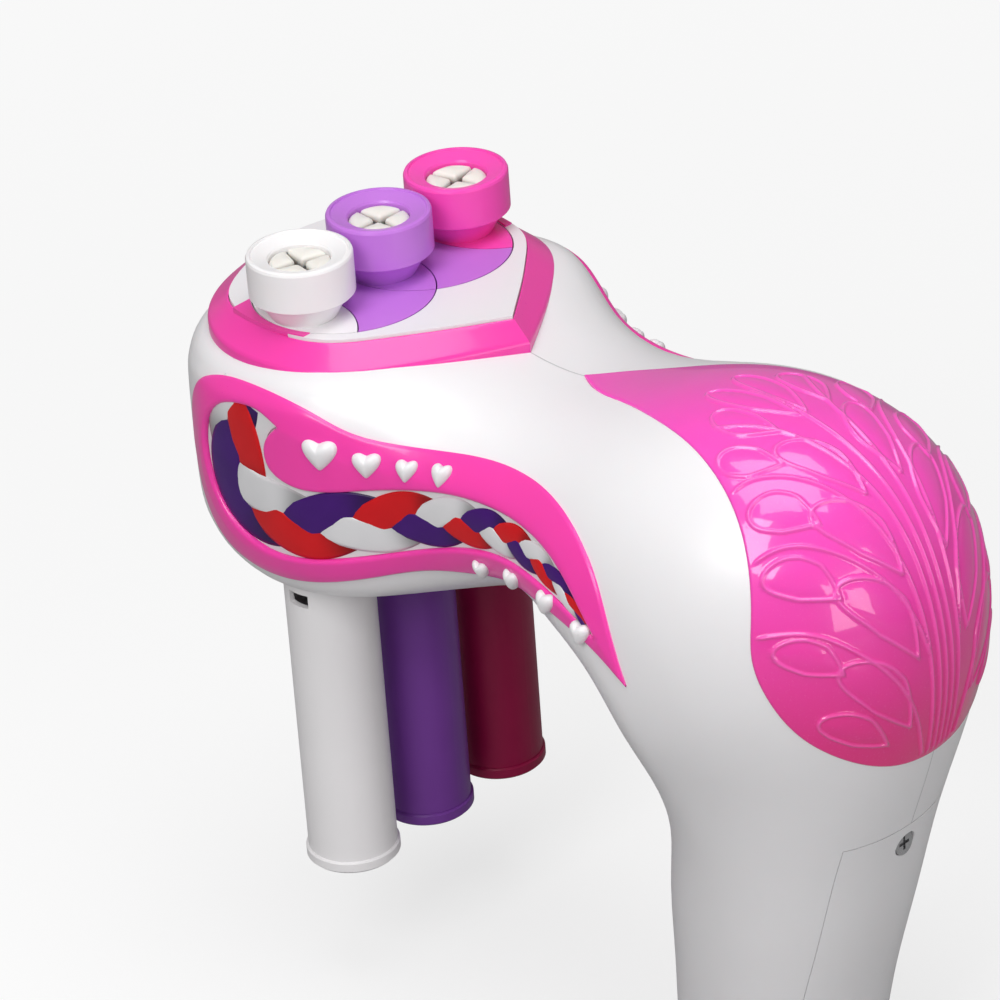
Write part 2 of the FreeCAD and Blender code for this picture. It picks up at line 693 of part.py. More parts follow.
def mirroredWire(points, z, inset=0.0):
    # outline mirrored across y = 0, smooth at the nose and sharp at the rear point
    shrink = 1 - inset / points[-1][0]
    return Part.Wire([curve(mirroredRun([(x * shrink, y * shrink, z) for x, y in reversed(points)]))])


def topTrimShape():
    outer = mirroredWire(trimPoints, trimEdge)
    inner = mirroredWire(deckPoints, trimTop)
    slope = Part.makeLoft([outer, inner], True, True)
    skirt = slab(outer, trimEdge - 8, trimEdge)
    opening = slab(inner, trimEdge - 9, 0)
    return slope.fuse(skirt).cut(opening).cut(outerForm)


def deckShape():
    skirtOuter = rotorRadius + rotorGap + 1.5
    inner = mirroredWire(deckPoints, trimTop, float(s.fitGap))
    plate = slab(inner, trimEdge - 8, deckTop)
    plate = plate.cut(outerForm)
    skirt = eight(skirtOuter, gearTop + 0.15, deckTop - 0.5).common(slab(inner, gearTop, deckTop))
    opening = eight(rotorRadius + rotorGap, -60, 0)
    return plate.fuse(skirt).cut(opening)


# ---------------------------------------------------------------- dome cover

coverEye = Vector(90.0, 0, -42.0)                  # point inside the dome from which its edge is drawn
coverEdge = [(47.6, 0, 19.2), (53.2, 4.6, 17.2), (60.0, 7.4, 15.2), (73.3, 12.2, 13.2), (85.8, 16.3, 13.4),
             (93.5, 19.2, 15.4), (100.8, 22.6, 20.0), (105.4, 25.7, 26.6), (107.4, 27.9, 34.3),
             (108.2, 29.0, 41.2), (110.5, 27.6, 48.8), (113.5, 23.8, 55.6), (116.6, 18.0, 60.6),
             (118.9, 10.0, 64.2), (119.8, 0, 65.4)]


def mirroredRun(points):
    # right half from its corner to the far end, then back along the left half
    right = [Vector(x, y, z) for x, y, z in points]
    left = [Vector(x, -y, z) for x, y, z in reversed(points[:-1])]
    return right + left


def coverCutter():
    # solid cone from near the eye out through the cover's edge to far outside the body
    edge = mirroredRun([(x, y, -drop) for x, y, drop in coverEdge])
    near, far = [curve([coverEye + (point - coverEye) * scale for point in edge]) for scale in (0.3, 4.0)]
    cone = Part.makeCompound([Part.makeRuledSurface(near, far)] +
                             [Part.makeFilledFace([rim]) for rim in (near, far)])
    cone.sewShape(0.05)
    solid = Part.Solid(cone.Shells[0])
    if solid.Volume < 0:
        solid.reverse()
    return solid


# ---------------------------------------------------------------- side trims, braid panels and studs

swirlOutline = [
    [(-18.0, 37.0), (-17.3, 30.0), (-14.2, 24.2), (-8.0, 20.7), (0.0, 19.4), (8.0, 19.3), (15.3, 20.8), (22.7, 24.0),
     (31.0, 25.5), (42.0, 25.5), (54.0, 25.2), (63.5, 25.8), (71.0, 28.0), (77.4, 32.6), (82.2, 40.6)],
    [(86.2, 50.6), (80.6, 46.8), (73.0, 44.2), (63.0, 43.6), (53.0, 45.0), (43.0, 47.2), (33.3, 49.2), (24.0, 52.2),
     (13.5, 55.0), (4.0, 56.4), (-5.0, 55.4), (-12.4, 51.0), (-16.6, 44.8)],
]
windowOutline = [
    [(9.0, 24.4), (5.0, 22.8), (-0.7, 23.0), (-6.2, 25.0), (-9.9, 29.5), (-11.1, 35.6), (-9.6, 41.5), (-6.0, 46.2),
     (-0.8, 49.2), (5.5, 50.4), (13.5, 49.7), (24.0, 47.5), (34.0, 44.4), (44.0, 41.2), (52.0, 39.6), (62.0, 39.2),
     (71.0, 40.4)],
    [(79.6, 43.6), (74.4, 38.0), (68.2, 34.0), (60.0, 32.0), (50.0, 31.5), (40.0, 31.9), (30.0, 33.2), (22.0, 34.6),
     (15.0, 35.6), (9.5, 35.0), (6.2, 32.8), (5.6, 29.0)],
]
studPlaces = [(17.2, 27.3, 6.6), (25.0, 28.6, 5.2), (32.0, 29.0, 4.3), (38.7, 28.8, 4.2),
              (47.4, 43.6, 3.7), (56.6, 41.9, 4.1), (67.4, 41.4, 4.4), (76.6, 43.3, 4.4)]


def heartWire(x, drop, width):
    # a heart drawn in side view: two round lobes above a point
    half = width / 2
    top = Vector(x, 0, -drop + 0.22 * width)
    point = Vector(x, 0, -drop - 0.42 * width)
    edges = []
    for side in (-1, 1):
        lobe = Part.BSplineCurve()
        lobe.interpolate(Points=[top, Vector(x + side * 0.55 * half, 0, -drop + 0.38 * width),
                                 Vector(x + side * half, 0, -drop + 0.12 * width),
                                 Vector(x + side * 0.66 * half, 0, -drop - 0.16 * width), point])
        edges.append(lobe.toShape())
    return Part.Wire(edges)


def makeSides(trimForm, studForm, panelForm):
    trimLayer = trimForm.cut(outerForm)
    studLayer = studForm.cut(trimForm)
    panelLayer = panelForm.cut(outerForm)
    for name, side in (("left", -1), ("right", 1)):
        window = sidePrism(sideOutline(*windowOutline), side, 2.0)
        swirl = sidePrism(sideOutline(*swirlOutline), side, 2.0)
        shapePiece(f"{name}_swirl_trim", largest(trimLayer.common(swirl).cut(window)))
        shapePiece(f"{name}_braid_panel", largest(panelLayer.common(window)))
        studs = [largest(studLayer.common(sidePrism(heartWire(*stud), side, 2.0))) for stud in studPlaces]
        shapePiece(f"{name}_heart_studs", Part.makeCompound(studs))


def largest(shape):
    return max(shape.Solids, key=lambda solid: solid.Volume)


# ---------------------------------------------------------------- trigger

triggerTop = -float(s.triggerDrop) + float(s.triggerHeight) / 2
gripFrontX = sectionRows[9][0] - sectionRows[9][4] * math.sin(math.radians(sectionRows[9][2]))


def roundedPlate(x, thickness, width, height, radius, drop):
    # upright plate facing along X with rounded corners
    plate = Part.makeBox(thickness, width, height, Vector(x, -width / 2, -drop - height / 2))
    upright = [edge for edge in plate.Edges
               if abs(edge.Vertexes[0].X - edge.Vertexes[1].X) > thickness / 2]
    return plate.makeFillet(radius, upright)


def triggerShape():
    drop, width, height = float(s.triggerDrop), float(s.triggerWidth), float(s.triggerHeight)
    face = gripFrontX - float(s.triggerProud)
    flangeX = gripFrontX + wall + 1.6
    cap = roundedPlate(face, flangeX - face + 0.5, width, height, 4.0, drop)
    front = [edge for edge in cap.Edges if edge.BoundBox.XMax < face + 0.01]
    cap = cap.makeFillet(1.6, front)
    flange = roundedPlate(flangeX, 1.5, width + 3, height + 4, 5.0, drop)
    return cap.fuse(flange).removeSplitter(), flangeX + 1.5


def triggerSlot():
    gap = 2 * float(s.fitGap) + 0.2
    return roundedPlate(gripFrontX - 10, 14, float(s.triggerWidth) + gap, float(s.triggerHeight) + gap, 4.1,
                        float(s.triggerDrop))


def coil(x, y, z, radius, wire, length, turns, turn=None):
    # round-wire compression spring along +Z, then turned and moved to its seat
    path = Part.makeHelix((length - wire) / turns, length - wire, radius)
    ring = Part.Wire([Part.makeCircle(wire / 2, Vector(radius, 0, 0), Vector(0, 1, 0))])
    solid = Part.Wire(path.Edges).makePipeShell([ring], True, True)
    solid.translate(Vector(0, 0, wire / 2))
    if turn is not None:
        solid.Placement = FreeCAD.Placement(Vector(), turn).multiply(solid.Placement)
    solid.translate(Vector(x, y, z))
    return solid


def leafSpring(x, y, z, height):
    # sheet-steel contact: a flat foot, a bend, and a sloped arm with a crest under the cell
    profile = [(-4.0, 0.0), (4.0, 0.0), (4.7, 0.45), (4.7, 0.95), (0.7, height), (-0.7, height), (-2.0, height - 0.5),
               (-1.85, height - 0.78), (-0.55, height - 0.3), (0.55, height - 0.3), (4.4, 0.72), (4.4, 0.6),
               (3.9, 0.3), (-4.0, 0.3)]
    points = [Vector(x + across, y - 2.5, z + up) for across, up in profile]
    return Part.Face(Part.makePolygon(points + points[:1])).extrude(Vector(0, 5, 0))


def makeTrigger():
    shape, back = triggerShape()
    boardX = float(s.boardX)
    thickness = float(s.boardThickness)
    drop = float(s.triggerDrop)
    shapePiece("trigger", shape)
    spring = coil(back + 0.02, 0, -drop, 3.2, 0.45, boardX - back - 0.04, 3.0, alongX)
    shapePiece("trigger_spring", spring)
    board = block("switch_board", (0.0, 0.0, 0.0), (s.boardThickness, s.boardWidth, s.boardHeight))
    finish(board, "switch_board", s.boardX, -s.boardWidth / 2.0, -s.triggerDrop - s.boardHeight / 2.0)
    body = Part.makeBox(0.8, 4.2, 4.2, Vector(boardX - 0.8, -2.1, -drop - 2.1))
    plunger = Part.makeCylinder(1.2, 0.3, Vector(boardX - 1.0, 0, -drop), Vector(1, 0, 0))
    shapePiece("tact_switch", body.fuse(plunger))
    return boardX + thickness


# ---------------------------------------------------------------- batteries

cellTop = -float(s.cellTopDrop)
cellBottom = cellTop - float(s.cellLength)
trayRoof = cellTop + 0.5
trayFloor = cellBottom - float(s.springGap)
trayPlate = float(s.trayPlate)
cellX = float(s.cellX)
cellYs = (-float(s.cellRadius) - 0.1, float(s.cellRadius) + 0.1)
doorTop, doorBottom = trayRoof + trayPlate - 0.2, trayFloor - trayPlate + 0.2
doorScrewZ = trayRoof - 3.2


def doorBlock(grow):
    halfWidth = float(s.doorHalfWidth) + grow
    return Part.makeBox(60, 2 * halfWidth, doorTop - doorBottom + 2 * grow,
                        Vector(cellX + 4, -halfWidth, doorBottom - grow))


def makeBatteries(boardBack):
    frontX = cellX - float(s.cellRadius) - 0.3
    halfWidth = float(s.gripTopHalfWidth)
    roof = Part.makeBox(60, 2 * halfWidth, trayPlate, Vector(boardBack, -halfWidth, trayRoof))
    floor = Part.makeBox(60, 2 * halfWidth, trayPlate, Vector(boardBack, -halfWidth, trayFloor - trayPlate))
    front = Part.makeBox(frontX - boardBack, 2 * halfWidth, trayRoof - trayFloor + 1,
                         Vector(boardBack, -halfWidth, trayFloor - 0.5))
    boss = Part.makeCylinder(2.9, 22, Vector(cellX + float(s.cellRadius) + 2.0, 0, doorScrewZ), Vector(1, 0, 0))
    tray = joined([roof, floor, front, boss]).common(seatForm)
    hole = Part.makeCylinder(float(s.screwRadius) + 0.05, 40,
                             Vector(cellX + float(s.cellRadius) + 4.0, 0, doorScrewZ), Vector(1, 0, 0))
    shapePiece("battery_tray", largest(tray.cut(hole)))
    cells = []
    for y, flip in zip(cellYs, (1, -1)):
        can = Part.makeCylinder(float(s.cellRadius), float(s.cellLength) - 1.2, Vector(cellX, y, cellBottom))
        nubZ = cellBottom + float(s.cellLength) - 1.2
        nub = Part.makeCylinder(2.7, 1.2, Vector(cellX, y, nubZ))
        cell = can.fuse(nub)
        if flip < 0:
            cell.rotate(Vector(cellX, y, (cellTop + cellBottom) / 2), Vector(1, 0, 0), 180)
        cells.append(cell)
    shapePiece("battery_cells", Part.makeCompound(cells))
    springs = [leafSpring(cellX, y, trayFloor, float(s.springGap) - 0.03) for y in cellYs]
    shapePiece("battery_springs", Part.makeCompound(springs))
    link = Part.makeBox(8, 4 * float(s.cellRadius) - 6, 0.45, Vector(cellX - 4, -2 * float(s.cellRadius) + 3, cellTop + 0.03))
    shapePiece("battery_link", link)


def makeDoor(shell):
    door = largest(shell.common(doorBlock(0.0)))
    outerX = door.BoundBox.XMax
    seat = outerX
    probe = Part.makeLine(Vector(cellX, 0, doorScrewZ), Vector(farAway, 0, doorScrewZ)).common(outerForm)
    surfaceX = probe.BoundBox.XMax
    seat = surfaceX - wall + 0.9
    hole = Part.makeCylinder(float(s.screwRadius), 30, Vector(surfaceX - 20, 0, doorScrewZ), Vector(1, 0, 0))
    sink = Part.makeCylinder(float(s.screwHeadRadius) + 0.15, 30, Vector(seat, 0, doorScrewZ), Vector(1, 0, 0))
    shapePiece("battery_door", largest(door.cut(hole).cut(sink)))
    head = Part.makeCylinder(float(s.screwHeadRadius), 1.1, Vector(seat, 0, doorScrewZ), Vector(1, 0, 0))
    shank = Part.makeCylinder(float(s.screwRadius), 9, Vector(seat - 9, 0, doorScrewZ), Vector(1, 0, 0))
    shapePiece("door_screw", crossCut(head.fuse(shank), Vector(seat + 1.1, 0, doorScrewZ), Vector(1, 0, 0)))


def crossCut(screw, top, way):
    # cross recess in a screw's head; way points out of the head
    across = up if abs(way.z) < 0.5 else Vector(1, 0, 0)
    for side in (across, way.cross(across)):
        length, width, depth = 2.6, 0.6, 0.7
        box = Part.makeBox(length, width, depth, Vector(-length / 2, -width / 2, -depth))
        frame = Rotation(side, way.cross(side), way, "ZXY")
        box.Placement = FreeCAD.Placement(top, frame)
        screw = screw.cut(box)
    return screw


# ---------------------------------------------------------------- gear train and motor

def shaftAt(place, low, high, radius=None):
    return Part.makeCylinder(radius or shaftRadius, high - low, Vector(place[0], place[1], low))


def boredGear(shapes, place):
    return joined(shapes).cut(shaftAt(place, -100, 0, shaftRadius + runGap))


def idlerShape(place, rimPhase, pinionPhase):
    wide = gear(idlerTeeth, gearModule, place, gearTop - 0.3, gearThickness - 0.6, rimPhase)
    low = pinionTop - pinionThickness
    pinion = gear(pinionTeeth, gearModule, place, gearTop - 1, gearTop - 1 - low, pinionPhase)
    return boredGear([wide, pinion], place)


def keptTeeth():
    # the driver's cut teeth: from just past the left pinion, back through the arc that turns it half round
    way = direction(driver, leftIdler)
    kept = []
    for k in range(driverTeeth):
        behind = (way + 360 / driverTeeth - (driverPhase + k * 360 / driverTeeth)) % 360
        if behind < 360 / driverTeeth * (pinionTeeth + 1) + 3:
            kept.append(k)
    return kept


def driverShape():
    sector = gear(driverTeeth, gearModule, driver, pinionTop, pinionThickness, driverPhase, keptTeeth())
    wheel = gear(wheelTeeth, wheelModule, driver, wheelTop, pinionThickness, 0.0)
    hub = shaftAt(driver, plateBottom + 0.1, plateTop - framePlate - 0.1, hubRadius)
    web = shaftAt(driver, wheelTop - 0.5, pinionTop - pinionThickness + 0.5, hubRadius + 1.5)
    return boredGear([sector, wheel, hub, web], driver)


crownRadius = wheelModule * wheelTeeth / 2
crownTop = gearTop - 0.2
crownFace = crownTop - 2.4                                          # crown gear's flat below its rim
motorZ = crownFace - float(s.crownTooth) - wheelModule * (motorTeeth / 2 - addendum) + 0.1
pinionX = crownShaft[0] + crownRadius
pinionHalf = 1.6


def crownShape():
    plate = disc(crownRadius + 1.6, 2.4, crownShaft[0], crownShaft[1], crownTop)
    hub = shaftAt(crownShaft, plateBottom + 0.1, plateTop - framePlate - 0.1, hubRadius)
    small = gear(smallTeeth, wheelModule, crownShaft, wheelTop, pinionThickness, smallPhase)
    solid = [plate, hub, small]
    width = wheelModule * math.pi / 2 - 0.42
    tooth = Part.makeBox(2 * pinionHalf - 0.6, width, float(s.crownTooth) + 0.2,
                         Vector(crownRadius - pinionHalf + 0.3, -width / 2, crownFace - float(s.crownTooth)))
    for k in range(wheelTeeth):
        one = tooth.copy()
        one.rotate(Vector(), up, k * 360 / wheelTeeth)
        one.translate(Vector(crownShaft[0], crownShaft[1], 0))
        solid.append(one)
    return boredGear(solid, crownShaft)


def motorPinionShape():
    wire = gearWire(motorTeeth, wheelModule, 0, 0, 90.0)
    solid = Part.Face(wire).extrude(Vector(0, 0, 2 * pinionHalf + 1.2))
    solid.Placement = FreeCAD.Placement(Vector(pinionX - pinionHalf, 0, motorZ), Rotation(Vector(0, 1, 0), 90))
    bore = Part.makeCylinder(float(s.motorShaftRadius), 10, Vector(pinionX - 5, 0, motorZ), Vector(1, 0, 0))
    return solid.cut(bore)


bracketX = pinionX + pinionHalf + 2.0
motorX = bracketX + 1.6


def makeMotor():
    length, width, height = float(s.motorLength), float(s.motorWidth), float(s.motorHeight)
    flat = Part.makeBox(length, width, height, Vector(motorX, -width / 2, motorZ - height / 2))
    round_ = Part.makeCylinder(width / 2, length, Vector(motorX, 0, motorZ), Vector(1, 0, 0))
    boss = Part.makeCylinder(float(s.motorBossRadius), 1.5, Vector(motorX - 1.4, 0, motorZ), Vector(1, 0, 0))
    can = flat.common(round_).fuse(boss)
    bore = Part.makeCylinder(float(s.motorShaftRadius) + runGap, 12, Vector(motorX - 3, 0, motorZ), Vector(1, 0, 0))
    shapePiece("motor", can.cut(bore))
    shaftLength = motorX + 8 - (pinionX - pinionHalf)
    shaft = Part.makeCylinder(float(s.motorShaftRadius), shaftLength, Vector(pinionX - pinionHalf, 0, motorZ),
                              Vector(1, 0, 0))
    shapePiece("motor_shaft", shaft)
    shapePiece("motor_pinion", motorPinionShape())
    tags = [Part.makeBox(3.0, 0.5, 2.4, Vector(motorX + length, y - 0.25, motorZ - 1.2)) for y in (-5.5, 5.5)]
    shapePiece("motor_terminals", Part.makeCompound(tags))


stubTop = pinionTop + 1.2                                          # the reverser runs under the right idler
shafts = {"left_idler_shaft": (leftIdler, plateTop), "right_idler_shaft": (rightIdler, plateTop),
          "reverser_shaft": (reverser, stubTop), "driver_shaft": (driver, plateTop),
          "crown_shaft": (crownShaft, plateTop)}
frameRear = bracketX + 1.6
postPlaces = [(frameRear - 4.4, -14.2), (frameRear - 4.4, 14.2), (40.5, -15.2), (40.5, 15.2)]
sinkDepth = 1.0                                                    # gearbox screw heads, flush with the cover


def makeGearbox():
    halfWidth = 23.0
    frontX = 20.0
    floor = Part.makeBox(frameRear - 18.6, 2 * 40, framePlate, Vector(18.6, -40, plateBottom - framePlate))
    floor = floor.common(seatForm)
    bracket = Part.makeBox(1.6, 24, plateTop - framePlate - plateBottom + 0.2,
                           Vector(bracketX, -12, plateBottom - 0.2))
    posts = [shaftAt(place, plateBottom - 0.2, plateTop - framePlate, 2.4) for place in postPlaces]
    shaftHoles = [shaftAt(place, -100, top, shaftRadius) for place, top in shafts.values()]
    motorHole = Part.makeCylinder(float(s.motorBossRadius), 8, Vector(bracketX - 3, 0, motorZ), Vector(1, 0, 0))
    frame = joined([floor, bracket] + posts)
    for hole in shaftHoles + [motorHole]:
        frame = frame.cut(hole)
    for place in postPlaces:
        frame = frame.cut(shaftAt(place, plateTop - framePlate - 6, 0, 0.9))
    shapePiece("gearbox_frame", largest(frame))
    lid = Part.makeBox(frameRear - frontX, 2 * halfWidth, framePlate,
                       Vector(frontX, -halfWidth, plateTop - framePlate)).common(seatForm)
    for hole in shaftHoles:
        lid = lid.cut(hole)
    for place in postPlaces:
        lid = lid.cut(shaftAt(place, -100, 0, 1.1)).cut(shaftAt(place, plateTop - sinkDepth, 0, 1.95))
    lid = lid.cut(Part.makeCylinder(6.2, 12, Vector(pinionX - 5, 0, motorZ), Vector(1, 0, 0)))
    shapePiece("gearbox_cover", largest(lid))
    for name, (place, top) in shafts.items():
        shapePiece(name, shaftAt(place, plateBottom - framePlate, top))
    screws = []
    for place in postPlaces:
        shank = shaftAt(place, plateTop - framePlate - 5, plateTop - 0.2, 0.9)
        screw = shank.fuse(shaftAt(place, plateTop - sinkDepth, plateTop, 1.8))
        screws.append(crossCut(screw, Vector(place[0], place[1], plateTop), up))
    shapePiece("gearbox_screws", Part.makeCompound(screws))
    shapePiece("left_idler_gear", idlerShape(leftIdler, leftIdlerPhase, leftPinionPhase))
    shapePiece("right_idler_gear", idlerShape(rightIdler, rightIdlerPhase, rightPinionPhase))
    reverse = gear(reverseTeeth, gearModule, reverser, pinionTop, pinionThickness, reversePhase)
    sleeve = shaftAt(reverser, plateBottom + 0.1, pinionTop, hubRadius)
    shapePiece("reverser_gear", boredGear([reverse, sleeve], reverser))
    shapePiece("driver_gear", driverShape())
    shapePiece("crown_gear", crownShape())


# ---------------------------------------------------------------- shells and their screws

headScrewX = -float(s.headFront) + 5.9
screwReach = 8.0  # into the left shell's bosses
footScrew = (baseX + 1.5, baseDrop + wall + 2.5)
screwPlaces = [(headScrewX, -44.0), (72.0, -52.0), (86.0, -19.6), (114.0, -46.0), (108.0, -73.5), footScrew]


def makeShells():
    trimForm = bodySolid(-float(s.trimProud))
    studForm = bodySolid(-float(s.studProud))
    panelForm = bodySolid(-float(s.panelProud))
    proudForm = bodySolid(-float(s.coverProud))
    recessForm = bodySolid(float(s.coverDepth))
    cutter = coverCutter()
    shell = outerForm.cut(innerForm)
    makeDoor(shell)
    cover = largest(proudForm.cut(recessForm).common(cutter))
    shapePiece("dome_cover", cover)
    shell = shell.cut(outerForm.cut(recessForm).common(cutter))
    shell = shell.cut(eight(rotorRadius + rotorGap + 1.7, -30, 0))
    underside = eight(float(s.openingRadius), -80, centre - 10)
    shell = shell.cut(underside)
    shell = shell.cut(triggerSlot())
    shell = shell.cut(doorBlock(float(s.fitGap) + 0.05))
    shell = largest(shell)
    for place in postPlaces:  # room over the gearbox screws
        shell = shell.cut(shaftAt(place, plateTop - 3, plateTop + 0.2, 2.1))
    screws = []
    for name, side in (("left", -1), ("right", 1)):
        half = Part.makeBox(400, 100, 400, Vector(-200, 0 if side > 0 else -100, -300))
        housing = largest(shell.common(half))
        for x, z in screwPlaces:
            boss = Part.makeCylinder(float(s.bossRadius), 60, Vector(x, 0, z), Vector(0, side, 0))
            boss = boss.common(innerForm)
            housing = housing.fuse(boss)
        for x, z in screwPlaces:
            if side < 0:
                hole = Part.makeCylinder(float(s.screwRadius), 10, Vector(x, -10, z), Vector(0, 1, 0))
            else:
                hole = Part.makeCylinder(float(s.screwRadius) + 0.1, 100, Vector(x, 0, z), Vector(0, 1, 0))
                sink = Part.makeCylinder(float(s.screwHeadRadius) + 0.2, 100, Vector(x, float(s.screwSeat), z),
                                         Vector(0, 1, 0))
                hole = hole.fuse(sink)
            housing = housing.cut(hole)
        shapePiece(f"{name}_housing", largest(housing))
    for x, z in screwPlaces:
        seat = float(s.screwSeat)
        head = Part.makeCylinder(float(s.screwHeadRadius), float(s.screwHeadHeight), Vector(x, seat, z),
                                 Vector(0, 1, 0))
        shank = Part.makeCylinder(float(s.screwRadius), seat + screwReach, Vector(x, -screwReach, z), Vector(0, 1, 0))
        top = Vector(x, seat + float(s.screwHeadHeight), z)
        screws.append(crossCut(head.fuse(shank), top, Vector(0, 1, 0)))
    shapePiece("housing_screws", Part.makeCompound(screws))
    makeSides(trimForm, studForm, panelForm)


makeStrandHolders()
makeRotors()
shapePiece("top_trim_ring", largest(topTrimShape()))
shapePiece("deck_plate", largest(deckShape()))
makeGearbox()
makeMotor()
makeBatteries(makeTrigger())
makeShells()
doc.recompute()

# ---------------------------------------------------------------- checks and files

for item in doc.Objects:
    faults = [state for state in item.State if state in ("Invalid", "Error")]
    if faults:
        raise RuntimeError(f"{item.Name}: {faults}")
for piece in pieces:
    if piece.Shape.isNull() or not piece.Shape.isValid() or not piece.Shape.Solids:
        raise RuntimeError(f"{piece.Label}: no sound solid")

os.makedirs("parts", exist_ok=True)
for piece in pieces:
    piece.Shape.exportStep(f"parts/{piece.Label}.step")
print(len(pieces), "pieces")
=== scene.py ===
import json
import math

import bmesh
import bpy
import numpy as np
from mathutils import Matrix, Vector
from mathutils.bvhtree import BVHTree
from mathutils.geometry import delaunay_2d_cdt
from mathutils.kdtree import KDTree


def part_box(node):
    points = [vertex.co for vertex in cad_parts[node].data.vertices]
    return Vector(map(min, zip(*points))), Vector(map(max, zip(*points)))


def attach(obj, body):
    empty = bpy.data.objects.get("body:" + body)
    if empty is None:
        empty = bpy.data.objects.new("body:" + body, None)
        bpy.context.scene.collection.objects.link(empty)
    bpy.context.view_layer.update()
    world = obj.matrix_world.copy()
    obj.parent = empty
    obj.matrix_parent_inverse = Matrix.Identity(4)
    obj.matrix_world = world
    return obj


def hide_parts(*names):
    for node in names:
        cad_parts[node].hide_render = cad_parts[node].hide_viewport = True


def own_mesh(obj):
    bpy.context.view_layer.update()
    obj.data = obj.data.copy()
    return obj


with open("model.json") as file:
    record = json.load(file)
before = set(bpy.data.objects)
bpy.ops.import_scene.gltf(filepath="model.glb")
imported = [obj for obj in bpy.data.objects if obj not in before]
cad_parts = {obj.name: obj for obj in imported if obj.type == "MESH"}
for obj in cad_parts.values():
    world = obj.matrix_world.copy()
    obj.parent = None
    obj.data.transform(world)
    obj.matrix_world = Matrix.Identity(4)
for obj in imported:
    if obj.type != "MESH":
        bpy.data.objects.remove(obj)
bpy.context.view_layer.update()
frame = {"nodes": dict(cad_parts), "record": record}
nodes = frame["nodes"]
print("frame loaded:", len(nodes), "nodes")

mm = 0.001
reach, topHeight = 86.0, 151.0  # the strand row ahead of the grip's base, and the crown above it


def crown(x, y, z):
    # millimetres from the middle collar's top, to the frame's metres
    return Vector(((x - reach) * mm, y * mm, (z + topHeight) * mm))


# ---- shader values ----

class Value:
    # one socket, so that an expression on values becomes Math nodes
    def __init__(self, graph, socket):
        self.graph, self.socket = graph, socket

    def math(self, operation, other=None, swapped=False):
        ends = [self] if other is None else ([other, self] if swapped else [self, other])
        return self.graph.node("ShaderNodeMath", {"operation": operation}, dict(enumerate(ends)))

    def __add__(self, other): return self.math("ADD", other)
    def __radd__(self, other): return self.math("ADD", other)
    def __sub__(self, other): return self.math("SUBTRACT", other)
    def __rsub__(self, other): return self.math("SUBTRACT", other, True)
    def __mul__(self, other): return self.math("MULTIPLY", other)
    def __rmul__(self, other): return self.math("MULTIPLY", other)
    def __truediv__(self, other): return self.math("DIVIDE", other)
    def __rtruediv__(self, other): return self.math("DIVIDE", other, True)
    def __abs__(self): return self.math("ABSOLUTE")

    def over(self, low, high):  # 0 below low, 1 above high
        return self.graph.node("ShaderNodeMapRange", {"interpolation_type": "SMOOTHSTEP"},
                               {"Value": self, "From Min": low, "From Max": high})


class Graph:
    def __init__(self, tree):
        self.tree = tree
        self.tree.nodes.clear()

    def node(self, kind, settings=None, inputs=None, out=0):
        made = self.tree.nodes.new(kind)
        for key, value in (settings or {}).items():
            setattr(made, key, value)
        for key, value in (inputs or {}).items():
            if isinstance(value, Value):
                self.tree.links.new(value.socket, made.inputs[key])
            else:
                made.inputs[key].default_value = value
        return None if out is None else Value(self, made.outputs[out])


class Finish(Graph):
    # the graph of a material or of the world
    def __init__(self, owner):
        owner.use_nodes = True
        super().__init__(owner.node_tree)
        self.owner = owner
        self.place = self.node("ShaderNodeTexCoord", out="Object")

    def noise(self, size, detail=2.0, rough=0.5, place=None):
        # size is the width of one patch in metres
        return self.node("ShaderNodeTexNoise", {}, {"Vector": place or self.place, "Scale": 1 / size,
                                                    "Detail": detail, "Roughness": rough})

    def mix(self, share, low, high):
        colours = [c if isinstance(c, Value) else (*c, 1) for c in (low, high)]
        return self.node("ShaderNodeMix", {"data_type": "RGBA"}, {0: share, 6: colours[0], 7: colours[1]}, out=2)

    def axis(self, name):
        return self.node("ShaderNodeSeparateXYZ", {}, {0: self.place}, out=name)

    def attribute(self, name):
        return self.node("ShaderNodeAttribute", {"attribute_name": name}, out="Fac")

    def bump(self, height, distance):
        return self.node("ShaderNodeBump", {}, {"Height": height, "Strength": 1.0, "Distance": distance})

    def close(self, colour, roughness, normal, **fixed):
        inputs = {"Base Color": colour, "Roughness": roughness, "Normal": normal}
        inputs.update({key.replace("_", " "): value for key, value in fixed.items()})
        return self.show(self.node("ShaderNodeBsdfPrincipled", {}, inputs))

    def show(self, shader, output="ShaderNodeOutputMaterial"):
        self.node(output, {}, {"Surface": shader}, out=None)
        return self.owner


# what a moulded plastic has unless its look says otherwise
plainLook = {"cloud": 22 * mm, "marks": 0.06, "wave": 0.8, "waveSize": 3 * mm, "relief": 0.012 * mm, "gloss": 0.5,
             "coat": 0.25, "coatRoughness": 0.08, "soft": 0.0, "softRadius": (1.0, 0.6, 0.5)}


